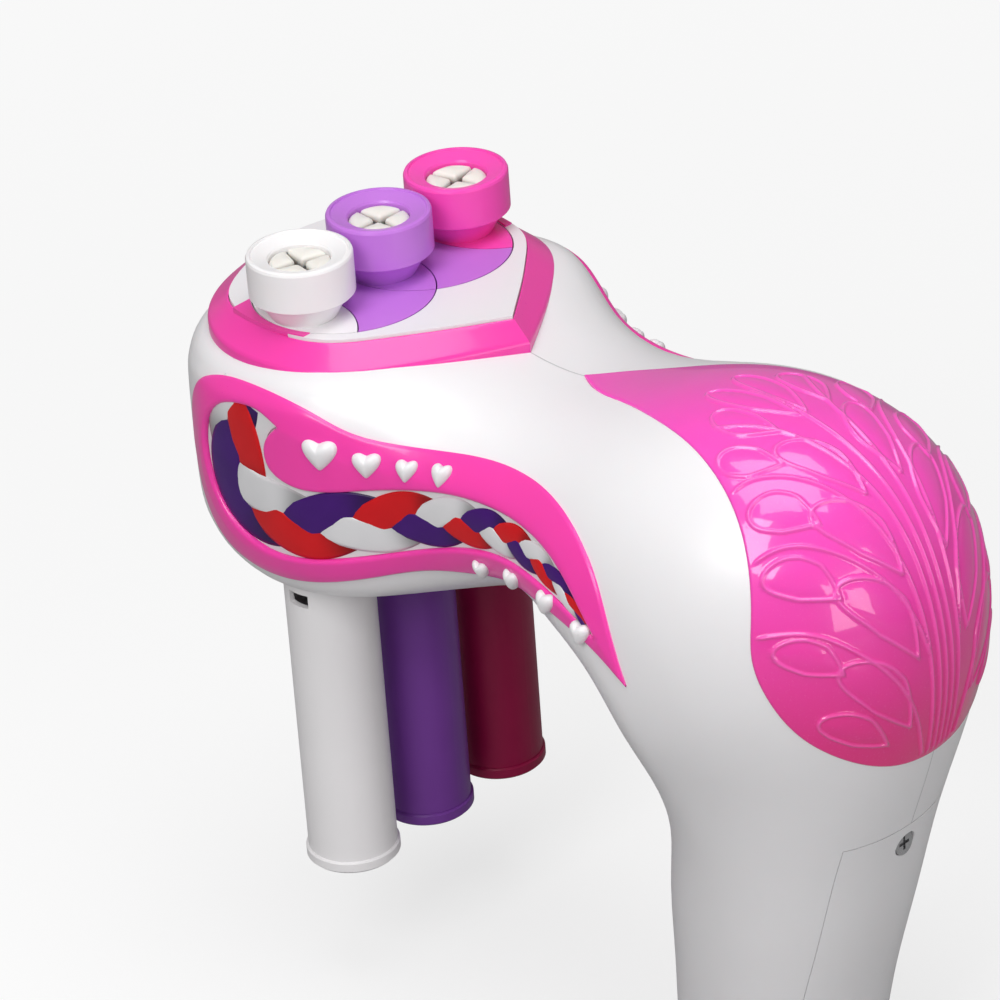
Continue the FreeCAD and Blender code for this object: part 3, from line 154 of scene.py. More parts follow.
def moulded(name, look):
    # injection-moulded plastic: faint flow clouds in the colour, fine grain, and handling marks in the gloss
    f, look = Finish(bpy.data.materials.new(name)), {**plainLook, **look}
    grain = f.noise(0.35 * mm)
    shade = tuple(c * (1 - look["vary"]) for c in look["colour"])
    colour = f.mix(f.noise(look["cloud"], 3.0).over(0.3, 0.7), shade, look["colour"])
    if "low" in look:  # painted shade: darker and redder towards the bottom of the dome, where less light falls
        colour = f.mix(f.axis("Z").over(0.07, 0.14), look["low"], colour)
    if "pearl" in look:
        speck = f.noise(look["speckSize"], 1.0)
        colour = f.mix(speck.over(0.62, 0.74) * look["pearl"], colour, look["pearlColour"])
    marks = f.noise(7 * mm, 4.0, 0.6).over(0.35, 0.75)
    roughness = look["roughness"] + (marks - 0.5) * look["marks"] + (grain - 0.5) * 0.05
    height = grain * 0.25 + f.noise(look["waveSize"], 1.0) * look["wave"]
    if "seam" in look:  # fine parting line where the two shells meet
        seam = 1 - abs(f.axis("Y")).over(0.03 * mm, 0.16 * mm)
        colour = f.mix(seam * 0.55, colour, look["seam"])
        height = height - seam * 6.0
    if "tuck" in look:  # soft shade where a band dives under the next
        colour = f.mix(f.attribute("tuck") * look["tuck"], colour, tuple(c * 0.18 for c in look["colour"]))
    if "raised" in look:  # painted highlight: raised lines are paler, as if lit along their crests
        colour = f.mix(f.attribute("raised") * 0.35, colour, look["raised"])
    return f.close(colour, roughness, f.bump(height, look["relief"]), Coat_Weight=look["coat"], Coat_IOR=1.5,
                   Coat_Roughness=look["coatRoughness"], Subsurface_Weight=look["soft"],
                   Subsurface_Scale=1.5 * mm, Subsurface_Radius=look["softRadius"], Specular_IOR_Level=look["gloss"])


def metal(name, look):
    f = Finish(bpy.data.materials.new(name))
    stretch = f.node("ShaderNodeMapping", {}, {"Vector": f.place, "Scale": look.get("stretch", (1, 1, 1))})
    brush = f.noise(0.3 * mm, 3.0, 0.6, stretch)
    dark = tuple(c * 0.8 for c in look["colour"])
    colour = f.mix(f.noise(4 * mm).over(0.3, 0.7), dark, look["colour"])
    roughness = look["roughness"] + (brush - 0.5) * 0.2
    return f.close(colour, roughness, f.bump(brush, 0.01 * mm), Metallic=1.0)


shellLook = {"colour": (0.84, 0.825, 0.84), "roughness": 0.36, "vary": 0.012, "coat": 0.06, "soft": 0.06,
             "marks": 0.02, "wave": 0.3}
pinkLook = {"marks": 0.03, "wave": 0.4, "softRadius": (1.0, 0.2, 0.35), "soft": 0.12}
bandLook = {"roughness": 0.42, "cloud": 6 * mm, "coat": 0.1, "tuck": 0.75, "marks": 0.03, "wave": 0.2}
plastics = {
    "whiteShell": shellLook,
    "shellHalf": {**shellLook, "seam": (0.3, 0.29, 0.3)},
    "whiteHolder": {"colour": (0.92, 0.9, 0.91), "roughness": 0.3, "vary": 0.015, "coat": 0.15, "soft": 0.06,
                    "marks": 0.02, "wave": 0.3},
    "purpleHolder": {"colour": (0.57, 0.195, 0.74), "roughness": 0.33, "vary": 0.05, "coat": 0.12, "marks": 0.03,
                     "wave": 0.4, "softRadius": (0.8, 0.4, 1.0), "soft": 0.1},
    "pinkHolder": {**pinkLook, "colour": (0.98, 0.08, 0.49), "roughness": 0.32, "vary": 0.04, "coat": 0.1,
                   "gloss": 0.35},
    "whiteTube": {"colour": (0.9, 0.88, 0.89), "roughness": 0.4, "vary": 0.015, "coat": 0.06, "marks": 0.03,
                  "wave": 0.3},
    "purpleTube": {"colour": (0.19, 0.046, 0.34), "roughness": 0.4, "vary": 0.08, "coat": 0.0, "gloss": 0.35,
                   "marks": 0.04},
    "pinkTube": {"colour": (0.33, 0.003, 0.06), "roughness": 0.42, "vary": 0.1, "coat": 0.0, "gloss": 0.3,
                 "marks": 0.04},
    "pinkTrim": {**pinkLook, "colour": (0.95, 0.05, 0.41), "roughness": 0.3, "vary": 0.03, "coat": 0.3, "gloss": 0.4},
    # low is the colour of the painted shade on the cover's lower part
    # raised is the colour of the painted highlight along the cover's ridges
    "pinkCover": {**pinkLook, "colour": (0.98, 0.075, 0.54), "low": (0.78, 0.006, 0.16), "raised": (1.0, 0.2, 0.62),
                  "roughness": 0.3, "vary": 0.05, "coat": 0.9, "coatRoughness": 0.03, "gloss": 0.3, "pearl": 0.12,
                  "pearlColour": (1.0, 0.2, 0.6), "speckSize": 0.4 * mm, "wave": 0.7, "waveSize": 1.6 * mm,
                  "relief": 0.014 * mm, "soft": 0.15},
    "creamJaw": {"colour": (0.86, 0.83, 0.78), "roughness": 0.42, "vary": 0.04, "coat": 0.05, "soft": 0.2},
    "nylon": {"colour": (0.72, 0.7, 0.62), "roughness": 0.45, "vary": 0.05, "coat": 0.0, "soft": 0.15},
    "greyFrame": {"colour": (0.16, 0.165, 0.175), "roughness": 0.5, "vary": 0.1, "coat": 0.0},
    "circuitBoard": {"colour": (0.02, 0.16, 0.05), "roughness": 0.35, "vary": 0.2, "coat": 0.2},
    "switchBlack": {"colour": (0.012, 0.012, 0.013), "roughness": 0.4, "vary": 0.2},
    "cellWrap": {"colour": (0.03, 0.035, 0.045), "roughness": 0.25, "vary": 0.2, "coat": 0.4},
    "redBand": {**bandLook, "colour": (0.66, 0.006, 0.01), "vary": 0.08, "gloss": 0.25},
    "violetBand": {**bandLook, "colour": (0.055, 0.005, 0.165), "vary": 0.1, "gloss": 0.25},
    "whiteBand": {**bandLook, "colour": (0.74, 0.735, 0.75), "roughness": 0.38, "vary": 0.03},
    "braidPrint": {"colour": (0.76, 0.755, 0.765), "roughness": 0.38, "vary": 0.02, "coat": 0.1, "marks": 0.03,
                   "wave": 0.3},
}
metals = {
    "steel": {"colour": (0.55, 0.55, 0.56), "roughness": 0.3},
    "brass": {"colour": (0.75, 0.5, 0.18), "roughness": 0.3},
    "motorCan": {"colour": (0.58, 0.57, 0.55), "roughness": 0.35, "stretch": (0.1, 1, 1)},
}
finishes = {name: moulded(name, look) for name, look in plastics.items()}
finishes.update({name: metal(name, look) for name, look in metals.items()})


def painted(mesh, finish):
    mesh.materials.clear()
    mesh.materials.append(finishes[finish])


def finishOf(slot):
    # white_shell takes the finish whiteShell
    first, *rest = slot.split("_")
    return first + "".join(word.capitalize() for word in rest)


slotOf = {entry["node"]: entry["material_slot"] for entry in frame["record"]["subparts"]}
bodyOf = {name: body for body, names in frame["record"]["behaviour"]["bodies"].items() for name in names}
for name, item in nodes.items():
    painted(item.data, "shellHalf" if name.endswith("_housing") else finishOf(slotOf[name]))
print("finishes:", len(finishes))


# ---- pieces ----

def linked(name, mesh, finish):
    painted(mesh, finish)
    piece = bpy.data.objects.new(name, mesh)
    bpy.context.scene.collection.objects.link(piece)
    return piece


def shadeSmooth(mesh, smooth=True):
    mesh.polygons.foreach_set("use_smooth", [smooth] * len(mesh.polygons))


def newPiece(name, vertices, faces, finish, smooth=True):
    mesh = bpy.data.meshes.new(name)
    mesh.from_pydata([tuple(v) for v in vertices], [], [tuple(f) for f in faces])
    mesh.update()
    shadeSmooth(mesh, smooth)
    return linked(name, mesh, finish)


def marked(piece, name, values):
    # one value at each point, for the finish to read
    piece.data.attributes.new(name, "FLOAT", "POINT").data.foreach_set("value", values.astype(np.float32))


def standIn(piece, node):
    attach(piece, bodyOf[node])
    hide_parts(node)


def applied(piece):
    # the piece with its modifiers made real
    bpy.context.view_layer.update()
    mesh = bpy.data.meshes.new_from_object(piece.evaluated_get(bpy.context.evaluated_depsgraph_get()))
    piece.modifiers.clear()
    piece.data = mesh
    return piece


def mergedCopy(node, name, finish):
    mesh = nodes[node].data.copy()
    shape = bmesh.new()
    shape.from_mesh(mesh)
    bmesh.ops.remove_doubles(shape, verts=shape.verts, dist=0.002 * mm)
    bmesh.ops.dissolve_degenerate(shape, edges=shape.edges, dist=0.001 * mm)
    shape.to_mesh(mesh)
    shape.free()
    return linked(name, mesh, finish)


def cleaned(piece):
    # doubles merged, open ends capped and faces turned outwards
    gap = 0.003 * mm
    shape = bmesh.new()
    shape.from_mesh(piece.data)
    bmesh.ops.remove_doubles(shape, verts=shape.verts, dist=gap)
    bmesh.ops.dissolve_degenerate(shape, edges=shape.edges, dist=gap / 3)
    ends = [edge for edge in shape.edges if edge.is_boundary]
    if ends:
        bmesh.ops.holes_fill(shape, edges=ends, sides=0)
    bmesh.ops.recalc_face_normals(shape, faces=shape.faces)
    if shape.calc_volume(signed=True) < 0:
        bmesh.ops.reverse_faces(shape, faces=shape.faces)
    shape.to_mesh(piece.data)
    shape.free()
    return piece


def relaxed(outline, rounds):
    # a closed outline with its corners worn round
    for _ in range(rounds):
        outline = (np.roll(outline, 1, axis=0) + 2 * outline + np.roll(outline, -1, axis=0)) / 4
    return outline


def puffyPad(outline, place, skirt, rise, rings, drawIn=1.25, power=0.62):
    # a soft raised pad over an outline: ring 0 is its skirt, the last ring lies round the top
    middle = outline.mean(axis=0)
    points, faces = [], []
    for ring in range(rings + 2):
        share = 0 if ring < 2 else (ring - 1) / rings
        shrink = 1 - share ** drawIn
        height = skirt if ring == 0 else rise * math.sin(math.pi / 2 * share) ** power
        points += [place(u, v, height) for u, v in middle + (outline - middle) * shrink]
    count = len(outline)
    for ring in range(rings + 1):
        for k in range(count):
            a, b = ring * count + k, ring * count + (k + 1) % count
            faces.append((a, b, b + count, a + count))
    faces.append(tuple(range(count))[::-1])
    return points, faces


# ---- the trigger, with softly rounded edges, and its return spring ----

trigger = {"voxel": 0.25 * mm, "soften": 0.5, "rounds": 10}
triggerCap = mergedCopy("trigger", "triggerCap", "pinkTrim")
remesh = triggerCap.modifiers.new("voxels", "REMESH")
remesh.mode, remesh.voxel_size = "VOXEL", trigger["voxel"]
smooth = triggerCap.modifiers.new("soften", "SMOOTH")
smooth.factor, smooth.iterations = trigger["soften"], trigger["rounds"]
applied(triggerCap)
shadeSmooth(triggerCap.data)
painted(triggerCap.data, "pinkTrim")
standIn(triggerCap, "trigger")

# the spring stays on its seat
springLow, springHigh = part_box("trigger_spring")
joints = {joint["name"]: joint for joint in frame["record"]["behaviour"]["joints"]}
travel = joints["trigger_press"]["range_m"][1]
spring = mergedCopy("trigger_spring", "triggerSpring", "steel")
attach(spring, "body")
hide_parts("trigger_spring")
1 - travel / (springHigh[0] - springLow[0])
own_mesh(spring)
print("trigger done")


# ---- the body's own outer form, which the cover, the prints and the hearts follow ----

# x, z, lean in degrees, outward, inward, half width, squareness out and in, all in crown millimetres
bodyRows = [
    (0, -36.1, 0, 20.3, 28.3, 37.3, 6.4, 5.2), (14, -36.1, 0, 20.9, 27, 36.6, 6.2, 4.8),
    (28.5, -36.1, 3, 19.0, 24.2, 30.9, 3.2, 4.2), (42, -36.6, 8, 17.6, 20.4, 28.5, 2.5, 3.2),
    (54.5, -37.5, 17, 22.2, 17.1, 29.5, 2.2, 2.5), (67.5, -40, 32, 34.4, 18, 33.2, 2.1, 2.3),
    (81, -48, 50, 43.7, 17.6, 36, 2.1, 2.3), (88.4, -60.8, 66, 40.3, 17.8, 34.6, 2.1, 2.3),
    (91.5, -75, 78, 31.7, 19.6, 28.8, 2.1, 2.2), (93, -89.3, 86, 23.2, 21.6, 24.7, 2.1, 2.1),
    (91.3, -105.5, 91, 20, 22.2, 22.3, 2.1, 2.1), (88.8, -123.5, 93, 17.6, 20.8, 20, 2.1, 2.1),
    (86.9, -138.7, 93, 16.4, 19.2, 18.2, 2.2, 2.2), (86, -151, 90, 15.9, 17.2, 16.9, 2.2, 2.2)]
nose = {"front": 33.4, "shares": (0.05, 0.2, 0.4, 0.62, 0.82, 0.95), "tall": 0.3, "wide": 0.84, "squareOut": 2.8,
        "squareIn": 2.4}
headClear = 120  # well outside the head, in millimetres


def bodyRing(x, z, lean, outward, inward, halfWidth, squareOut, squareIn):
    corners = 32
    turn = 2 * np.pi * np.arange(corners) / corners - np.pi / 2
    side, rise = np.cos(turn), np.sin(turn)
    square = np.where(rise >= 0, squareOut, squareIn)
    y = halfWidth * np.sign(side) * np.abs(side) ** (2 / square)
    r = np.where(rise >= 0, outward, inward) * np.sign(rise) * np.abs(rise) ** (2 / square)
    lean = math.radians(lean)
    return np.stack([x + math.sin(lean) * r, y, z + math.cos(lean) * r], axis=1)


def closedSpline(points, count):
    # periodic cubic through evenly numbered points
    n = len(points)
    system = 4 * np.eye(n) + np.roll(np.eye(n), 1, axis=1) + np.roll(np.eye(n), -1, axis=1)
    bend = np.linalg.solve(system, 6 * (np.roll(points, 1, axis=0) - 2 * points + np.roll(points, -1, axis=0)))
    places = np.arange(count) * n / count
    k = places.astype(int) % n
    b = (places - places.astype(int))[:, None]
    a, after = 1 - b, (k + 1) % n
    return a * points[k] + b * points[after] + ((a ** 3 - a) * bend[k] + (b ** 3 - b) * bend[after]) / 6


def openSpline(points, steps, places):
    # natural cubic through the points at the given steps
    points = np.array(points, float)
    n, gaps = len(points), np.diff(steps)
    system, right = np.zeros((n, n)), np.zeros((n, points.shape[1]))
    system[0, 0] = system[-1, -1] = 1
    for i in range(1, n - 1):
        system[i, i - 1:i + 2] = gaps[i - 1], 2 * (gaps[i - 1] + gaps[i]), gaps[i]
        right[i] = 6 * ((points[i + 1] - points[i]) / gaps[i] - (points[i] - points[i - 1]) / gaps[i - 1])
    bend = np.linalg.solve(system, right)
    k = np.clip(np.searchsorted(steps, places) - 1, 0, n - 2)
    h = gaps[k][:, None]
    a = (steps[k + 1] - places)[:, None] / h
    b = 1 - a
    return a * points[k] + b * points[k + 1] + ((a ** 3 - a) * bend[k] + (b ** 3 - b) * bend[k + 1]) * h * h / 6


def runLength(points):
    # distance along a line at each of its points
    return np.concatenate([[0], np.cumsum(np.linalg.norm(np.diff(points, axis=0), axis=1))])


def smoothRun(points, count):
    # cubic through given points, evenly spaced along its length
    points = np.array(points, float)
    steps = runLength(points)
    dense = openSpline(points, steps, np.linspace(0, steps[-1], 40 * len(points)))
    run = runLength(dense)
    places = np.linspace(0, run[-1], count)
    return np.stack([np.interp(places, run, dense[:, c]) for c in range(points.shape[1])], axis=1)


def bodyForm(rowCount, ringCount):
    # the nose's rings shrink from the first row's ring to a blunt point
    x, z, lean, outward, inward, halfWidth = bodyRows[0][:6]
    rings = []
    for share in nose["shares"]:
        tall, wide = share ** nose["tall"], share ** nose["wide"]
        rings.append(bodyRing(x - nose["front"] * math.sqrt(1 - share ** 2), z, lean, outward * tall, inward * tall,
                              halfWidth * wide, nose["squareOut"] * (1 + share), nose["squareIn"] * (1 + share)))
    rings += [bodyRing(*row) for row in bodyRows]
    hoops = np.stack([closedSpline(ring, ringCount) for ring in rings])
    corners = np.stack(rings)
    steps = np.concatenate([[0], np.cumsum(np.linalg.norm(np.diff(corners, axis=0), axis=2).mean(axis=1))])
    places = np.linspace(0, steps[-1], rowCount)
    grid = openSpline(hoops.reshape(len(rings), -1), steps, places).reshape(rowCount, ringCount, 3)
    return (grid + (-reach, 0, topHeight)) * mm


def insideOutline(points, outline):
    u, v = points[..., 0], points[..., 1]
    inside = np.zeros(u.shape, bool)
    for (u0, v0), (u1, v1) in zip(outline, np.roll(outline, -1, axis=0)):
        crossing = (v0 > v) != (v1 > v)
        inside ^= crossing & (u < u0 + (v - v0) * (u1 - u0) / (v1 - v0 if v1 != v0 else 1e-9))
    return inside


def sideways(line, closed=False):
    # unit direction square to a flat line at each of its points
    ahead = np.roll(line, -1, axis=0) - np.roll(line, 1, axis=0) if closed else np.gradient(line, axis=0)
    ahead /= np.linalg.norm(ahead, axis=1, keepdims=True)
    return np.stack([-ahead[:, 1], ahead[:, 0]], axis=1)


def treeOf(points):
    # flat points lie at height 0
    tree = KDTree(len(points))
    for number, point in enumerate(points):
        tree.insert((*point, 0)[:3], number)
    tree.balance()
    return tree


def distances(tree, points):
    return np.array([tree.find((*point, 0)[:3])[2] for point in points])


def evenField(low, high, step):
    # flat points in staggered rows
    us, vs = np.meshgrid(np.arange(low[0], high[0], step), np.arange(low[1], high[1], step * 0.87))
    us[1::2] += step / 2
    return np.stack([us.ravel(), vs.ravel()], axis=1)


def meshed(loops, others, tolerance, kept):
    # triangles over flat closed loops and the points among them, where kept is true of a triangle's middle
    ends, first = [], 0
    for loop in loops:
        ends += [(first + k, first + (k + 1) % len(loop)) for k in range(len(loop))]
        first += len(loop)
    made = delaunay_2d_cdt([Vector(point) for point in np.concatenate(loops + others)], ends, [], 0, tolerance)
    points, triangles = np.array([tuple(v) for v in made[0]]), np.array(made[2])
    return points, triangles[kept(points[triangles].mean(axis=1))]


def loopFaces(count, size, closed=False):
    # quads over a row of loops of points, whose last loop can meet the first
    index = np.arange(count * size).reshape(count, size)
    index = np.concatenate([index, index[:1]]) if closed else index
    turned = np.roll(index, -1, axis=1)
    return np.stack([index[:-1], turned[:-1], turned[1:], index[1:]], axis=2).reshape(-1, 4)


rowCount, ringCount = 700, 420
formGrid = bodyForm(rowCount, ringCount)
slope = np.cross(np.gradient(formGrid, axis=0), (np.roll(formGrid, -1, axis=1) - np.roll(formGrid, 1, axis=1)) / 2)
slope /= np.maximum(np.linalg.norm(slope, axis=2, keepdims=True), 1e-12)
if (slope * (formGrid - formGrid.mean(axis=1, keepdims=True))).sum() < 0:
    slope = -slope
formPoints, formSlopes = formGrid.reshape(-1, 3), slope.reshape(-1, 3)
formFaces = loopFaces(rowCount, ringCount)
formTree = BVHTree.FromPolygons(formPoints.tolist(), formFaces.tolist())


def onForm(start, direction):
    # where a ray meets the body's form, with the form's own smooth slope there
    place, _, face, _ = formTree.ray_cast(Vector(start), Vector(direction))
    corners = formFaces[face]
    weights = 1 / (np.linalg.norm(formPoints[corners] - np.array(place), axis=1) + 1e-7)
    lean = (formSlopes[corners] * weights[:, None]).sum(axis=0)
    return np.array(place), lean / np.linalg.norm(lean)


def onSide(x, drop, side):
    # the point of the head's side at crown x and drop; side is -1 for the left
    return onForm(crown(x, side * headClear, -drop), (0, -side, 0))


print("body form:", len(formPoints), "points")


# ---- the dome cover, with its raised leaf scrolls ----

# field is in degrees of the chart, rim and ridge are steps in millimetres
cover = {"edgeStep": 0.5 * mm, "field": 1.25, "underField": 3.4, "proud": 0.36 * mm, "depth": 1.05 * mm,
         "rim": (0.07, 0.16, 0.28, 0.42, 0.6), "rimRound": 0.55 * mm, "ridgeStep": 0.72 * mm,
         "ridge": (0, 0.15, 0.29, 0.42, 0.55, 0.8), "ridgeHalfWidth": 0.55 * mm, "ridgeHeight": 0.42 * mm,
         "padHeight": 0.3 * mm, "padSlope": 2.4 * mm, "clear": 1.1 * mm, "underClear": 2.0 * mm,
         "ridgeClear": 0.75 * mm, "plainRim": 0.7 * mm, "riseWidth": 1.4 * mm, "low": (-44, -60), "high": (158, 60),
         "stemPoints": 260, "rimGrain": 0.1 * mm, "ridgeGrain": 0.12 * mm, "slack": 0.01 * mm}
eyeX, eyeDrop = 90, 42
eye = crown(eyeX, 0, -eyeDrop)
coverEdge = [(47.6, 0, 19.2), (53.2, 4.6, 17.2), (60.0, 7.4, 15.2), (73.3, 12.2, 13.2), (85.8, 16.3, 13.4),
             (93.5, 19.2, 15.4), (100.8, 22.6, 20.0), (105.4, 25.7, 26.6), (107.4, 27.9, 34.3),
             (108.2, 29.0, 41.2), (110.5, 27.6, 48.8), (113.5, 23.8, 55.6), (116.6, 18.0, 60.6),
             (118.9, 10.0, 64.2), (119.8, 0, 65.4)]


def toward(turn, spread):
    # direction from the cover's eye: turn round the dome in the middle plane, spread to one side, in degrees
    turn, spread = np.radians(turn), np.radians(spread)
    return np.stack([np.cos(spread) * np.cos(turn), np.sin(spread), np.cos(spread) * np.sin(turn)], axis=-1)


# distance from the eye to the form, on a regular chart
turnGrid, spreadGrid = np.linspace(-48, 160, 417), np.linspace(-66, 66, 265)
reachGrid = np.zeros((len(turnGrid), len(spreadGrid)))
for i, turn in enumerate(turnGrid):
    for j, direction in enumerate(toward(np.full(len(spreadGrid), turn), spreadGrid)):
        distance = formTree.ray_cast(eye, Vector(direction))[3]
        reachGrid[i, j] = distance if distance else np.nan
reachGrid = np.where(np.isnan(reachGrid), np.nanmean(reachGrid), reachGrid)
for _ in range(3):
    padded = np.pad(reachGrid, 1, mode="edge")
    reachGrid = (padded[:-2, 1:-1] + padded[2:, 1:-1] + padded[1:-1, :-2] + padded[1:-1, 2:] + 4 * reachGrid) / 8


def cubicWeights(t):
    return np.stack([(-t + 2 * t ** 2 - t ** 3) / 2, (2 - 5 * t ** 2 + 3 * t ** 3) / 2,
                     (t + 4 * t ** 2 - 3 * t ** 3) / 2, (-t ** 2 + t ** 3) / 2], axis=-1)


def reachAt(turn, spread):
    u = (np.asarray(turn, float) - turnGrid[0]) / (turnGrid[1] - turnGrid[0])
    v = (np.asarray(spread, float) - spreadGrid[0]) / (spreadGrid[1] - spreadGrid[0])
    i = np.clip(u.astype(int), 1, len(turnGrid) - 3)
    j = np.clip(v.astype(int), 1, len(spreadGrid) - 3)
    wu, wv = cubicWeights(u - i), cubicWeights(v - j)
    total = 0
    for a in range(4):
        for b in range(4):
            total = total + wu[..., a] * wv[..., b] * reachGrid[i + a - 1, j + b - 1]
    return total


def onDome(turn, spread, lift=0.0):
    # points of the dome, lifted along its slope
    turn, spread = np.broadcast_arrays(np.asarray(turn, float), np.asarray(spread, float))
    def flat(t, s):
        return np.array(eye) + toward(t, s) * reachAt(t, s)[..., None]
    place = flat(turn, spread)
    slopeTurn = flat(turn + 0.2, spread) - flat(turn - 0.2, spread)
    slopeSpread = flat(turn, spread + 0.2) - flat(turn, spread - 0.2)
    slopeOut = np.cross(slopeSpread, slopeTurn)
    slopeOut /= np.linalg.norm(slopeOut, axis=-1, keepdims=True)
    out = np.sign((slopeOut * toward(turn, spread)).sum(axis=-1, keepdims=True))
    return place + slopeOut * out * np.asarray(lift)[..., None]


def petal(base, tip, width, lean, count=110):
    # drop-shaped petal outline with a round end, from base to tip in chart degrees; lean bends it to one side
    base, tip = np.array(base, float), np.array(tip, float)
    along = tip - base
    side = np.array([-along[1], along[0]]) / np.linalg.norm(along)
    t = 0.5 - 0.5 * np.cos(np.linspace(0, np.pi, count))
    widest, neck = 0.64, 0.42  # shares of the petal's length
    swell = np.sqrt(np.clip(1 - ((t - widest) / np.where(t < widest, widest, 1 - widest)) ** 2, 0, 1))
    half = width / 2 * swell * np.clip(t / neck, 0, 1) ** 0.5
    spine = base + along * t[:, None] + side * (lean * np.sin(np.pi * t))[:, None]
    return np.concatenate([spine + side * half[:, None], (spine - side * half[:, None])[::-1]])


# turn and spread in degrees; the far side mirrors the near one
midStem, *sideStems = (smoothRun(points, cover["stemPoints"]) for points in (
    [(-36, 0), (-10, 0), (20, 0), (60, 0), (98, 0)],
    [(-36, 1.9), (-10, 2.7), (20, 3.4), (44, 5.0), (66, 8.6), (84, 14.5), (95, 21.0)],
    [(-36, 3.8), (-12, 5.6), (12, 7.4), (34, 10.8), (54, 17.8), (66, 26.0), (72, 34.0), (73, 42.0)],
    [(-6, 6.4), (6, 9.8), (22, 17.4), (36, 28.0), (45, 40.0), (46, 50.0)],
    [(-35.5, 6.0), (-22, 11.0), (-9, 19.0), (3, 30.5), (12, 43.0), (14, 56.0)]))
sideLeaves = [petal(*leaf) for leaf in (
    ((78, 1.8), (110, 6.4), 8.4, 0.8), ((44, 8.0), (73, 18.0), 12.0, -2.4), ((77, 12.0), (100, 16.0), 10.6, 1.6),
    ((67, 21.0), (86, 31.0), 11.0, 0.8), ((19, 9.8), (49, 25.0), 12.8, -2.4), ((44, 25.5), (63, 38.5), 13.0, -0.6),
    ((-6, 10.4), (24, 29.5), 13.0, -2.6), ((20, 30.0), (40, 46.5), 13.4, -0.8), ((-26, 12.0), (-3, 33.5), 12.6, -2.2),
    ((-5, 33.0), (8, 51.0), 12.2, -0.6), ((-30, 18.0), (-22, 38.0), 9.6, -1.4))]
outlines = [run * (1, sign) for run in sideStems + sideLeaves for sign in (1, -1)] + [midStem]


def evenly(run, step, closed=False):
    # the chart curve again, with points one step apart on the dome
    run = np.concatenate([run, run[:1]]) if closed else run
    length = runLength(onDome(*run.T))
    spots = np.linspace(0, length[-1], max(int(length[-1] / step), 3) + 1)
    return np.stack([np.interp(spots, length, run[:, k]) for k in (0, 1)], axis=1)[:-1 if closed else None]


def beside(run, offset, closed=False):
    # the chart curve moved sideways by a distance on the dome
    squeeze = np.stack([np.cos(np.radians(run[:, 1])), np.ones(len(run))], axis=1)
    ahead = (np.roll(run, -1, axis=0) - np.roll(run, 1, axis=0) if closed else np.gradient(run, axis=0)) * squeeze
    ahead /= np.maximum(np.linalg.norm(ahead, axis=1, keepdims=True), 1e-9)
    square = np.stack([-ahead[:, 1], ahead[:, 0]], axis=1) / squeeze
    return run + square * np.degrees(offset / reachAt(*run.T))[:, None]


def nearest(tree, chart):
    return distances(tree, onDome(*chart.T))


arm = (smoothRun(coverEdge, 600) - (eyeX, 0, eyeDrop)) * (1, 1, -1)
nearRim = np.degrees([np.arctan2(arm[:, 2], arm[:, 0]), np.arcsin(arm[:, 1] / np.linalg.norm(arm, axis=1))]).T
coverRim = evenly(np.concatenate([nearRim, nearRim[-2:0:-1] * (1, -1)]), cover["edgeStep"], True)
rimTree = treeOf(onDome(*evenly(coverRim, cover["rimGrain"], True).T))
ridgeTree = treeOf(np.concatenate([onDome(*evenly(run, cover["ridgeGrain"]).T) for run in outlines]))


def inCover(chart):
    return insideOutline(chart, coverRim)


def chartMesh(strips, field, clear):
    # triangles over the cover's chart: its rim, the strips' points and an even field clear of both
    filler = evenField(cover["low"], cover["high"], field)
    filler = filler[inCover(filler)]
    if strips:
        filler = filler[nearest(ridgeTree, filler) > clear]
    filler = filler[nearest(rimTree, filler) > clear]
    return meshed([coverRim], strips + [filler], 1e-7, inCover)


# a moved point stays where no other line is much nearer than its own
strips, nearlyAll, mostly = [], 0.93, 0.9
for step in cover["rim"]:
    for sign in (1, -1):
        moved = beside(coverRim, step * sign * mm, True)
        strips.append(moved[inCover(moved) & (nearest(rimTree, moved) > nearlyAll * step * mm)])
for outline in outlines:
    run = evenly(outline, cover["ridgeStep"])
    for step in cover["ridge"]:
        for sign in (1, -1) if step else (1,):
            moved = beside(run, step * sign * mm)
            moved = moved[inCover(moved)]
            strips.append(moved[(nearest(ridgeTree, moved) > mostly * step * mm - cover["slack"])
                                & (nearest(rimTree, moved) > cover["ridgeClear"])])
chart, triangles = chartMesh(strips, cover["field"], cover["clear"])
far, rimDistance = nearest(ridgeTree, chart), nearest(rimTree, chart)
rimDistance[:len(coverRim)] = 0
ridge = 0.5 + 0.5 * np.cos(np.pi * np.clip(far / cover["ridgeHalfWidth"], 0, 1))
inPetal = np.zeros(len(chart))
for outline in sideLeaves:
    for sign in (1, -1):
        inPetal[insideOutline(chart * (1, sign), outline)] = 1
swell = np.clip(far / cover["padSlope"], 0, 1)
padRise = inPetal * swell * (2 - swell)
rim = np.clip(rimDistance / cover["rimRound"], 0, 1)
inward = np.clip((rimDistance - cover["plainRim"]) / cover["riseWidth"], 0, 1)
lift = cover["proud"] * np.sqrt(np.clip(1 - (1 - rim) ** 2, 0, 1))
lift += (cover["ridgeHeight"] * ridge + cover["padHeight"] * padRise) * inward
underChart, underTriangles = chartMesh([], cover["underField"], cover["underClear"])
outerPoints = onDome(*chart.T, lift)
underPoints = onDome(*underChart.T, np.full(len(underChart), -cover["depth"]))
start = len(outerPoints)
walls = [(k, (k + 1) % len(coverRim), start + (k + 1) % len(coverRim), start + k) for k in range(len(coverRim))]
domeFaces = triangles.tolist() + (underTriangles[:, ::-1] + start).tolist() + walls
domeCover = newPiece("domeCover", np.concatenate([outerPoints, underPoints]), domeFaces, "pinkCover")
# the ridge mask that places the painted highlight on the cover
marked(domeCover, "raised", np.concatenate([ridge * inward, np.zeros(len(underPoints))]))
standIn(cleaned(domeCover), "dome_cover")
print("dome cover:", len(domeCover.data.polygons), "faces")


# ---- swirl trims on the head's sides ----

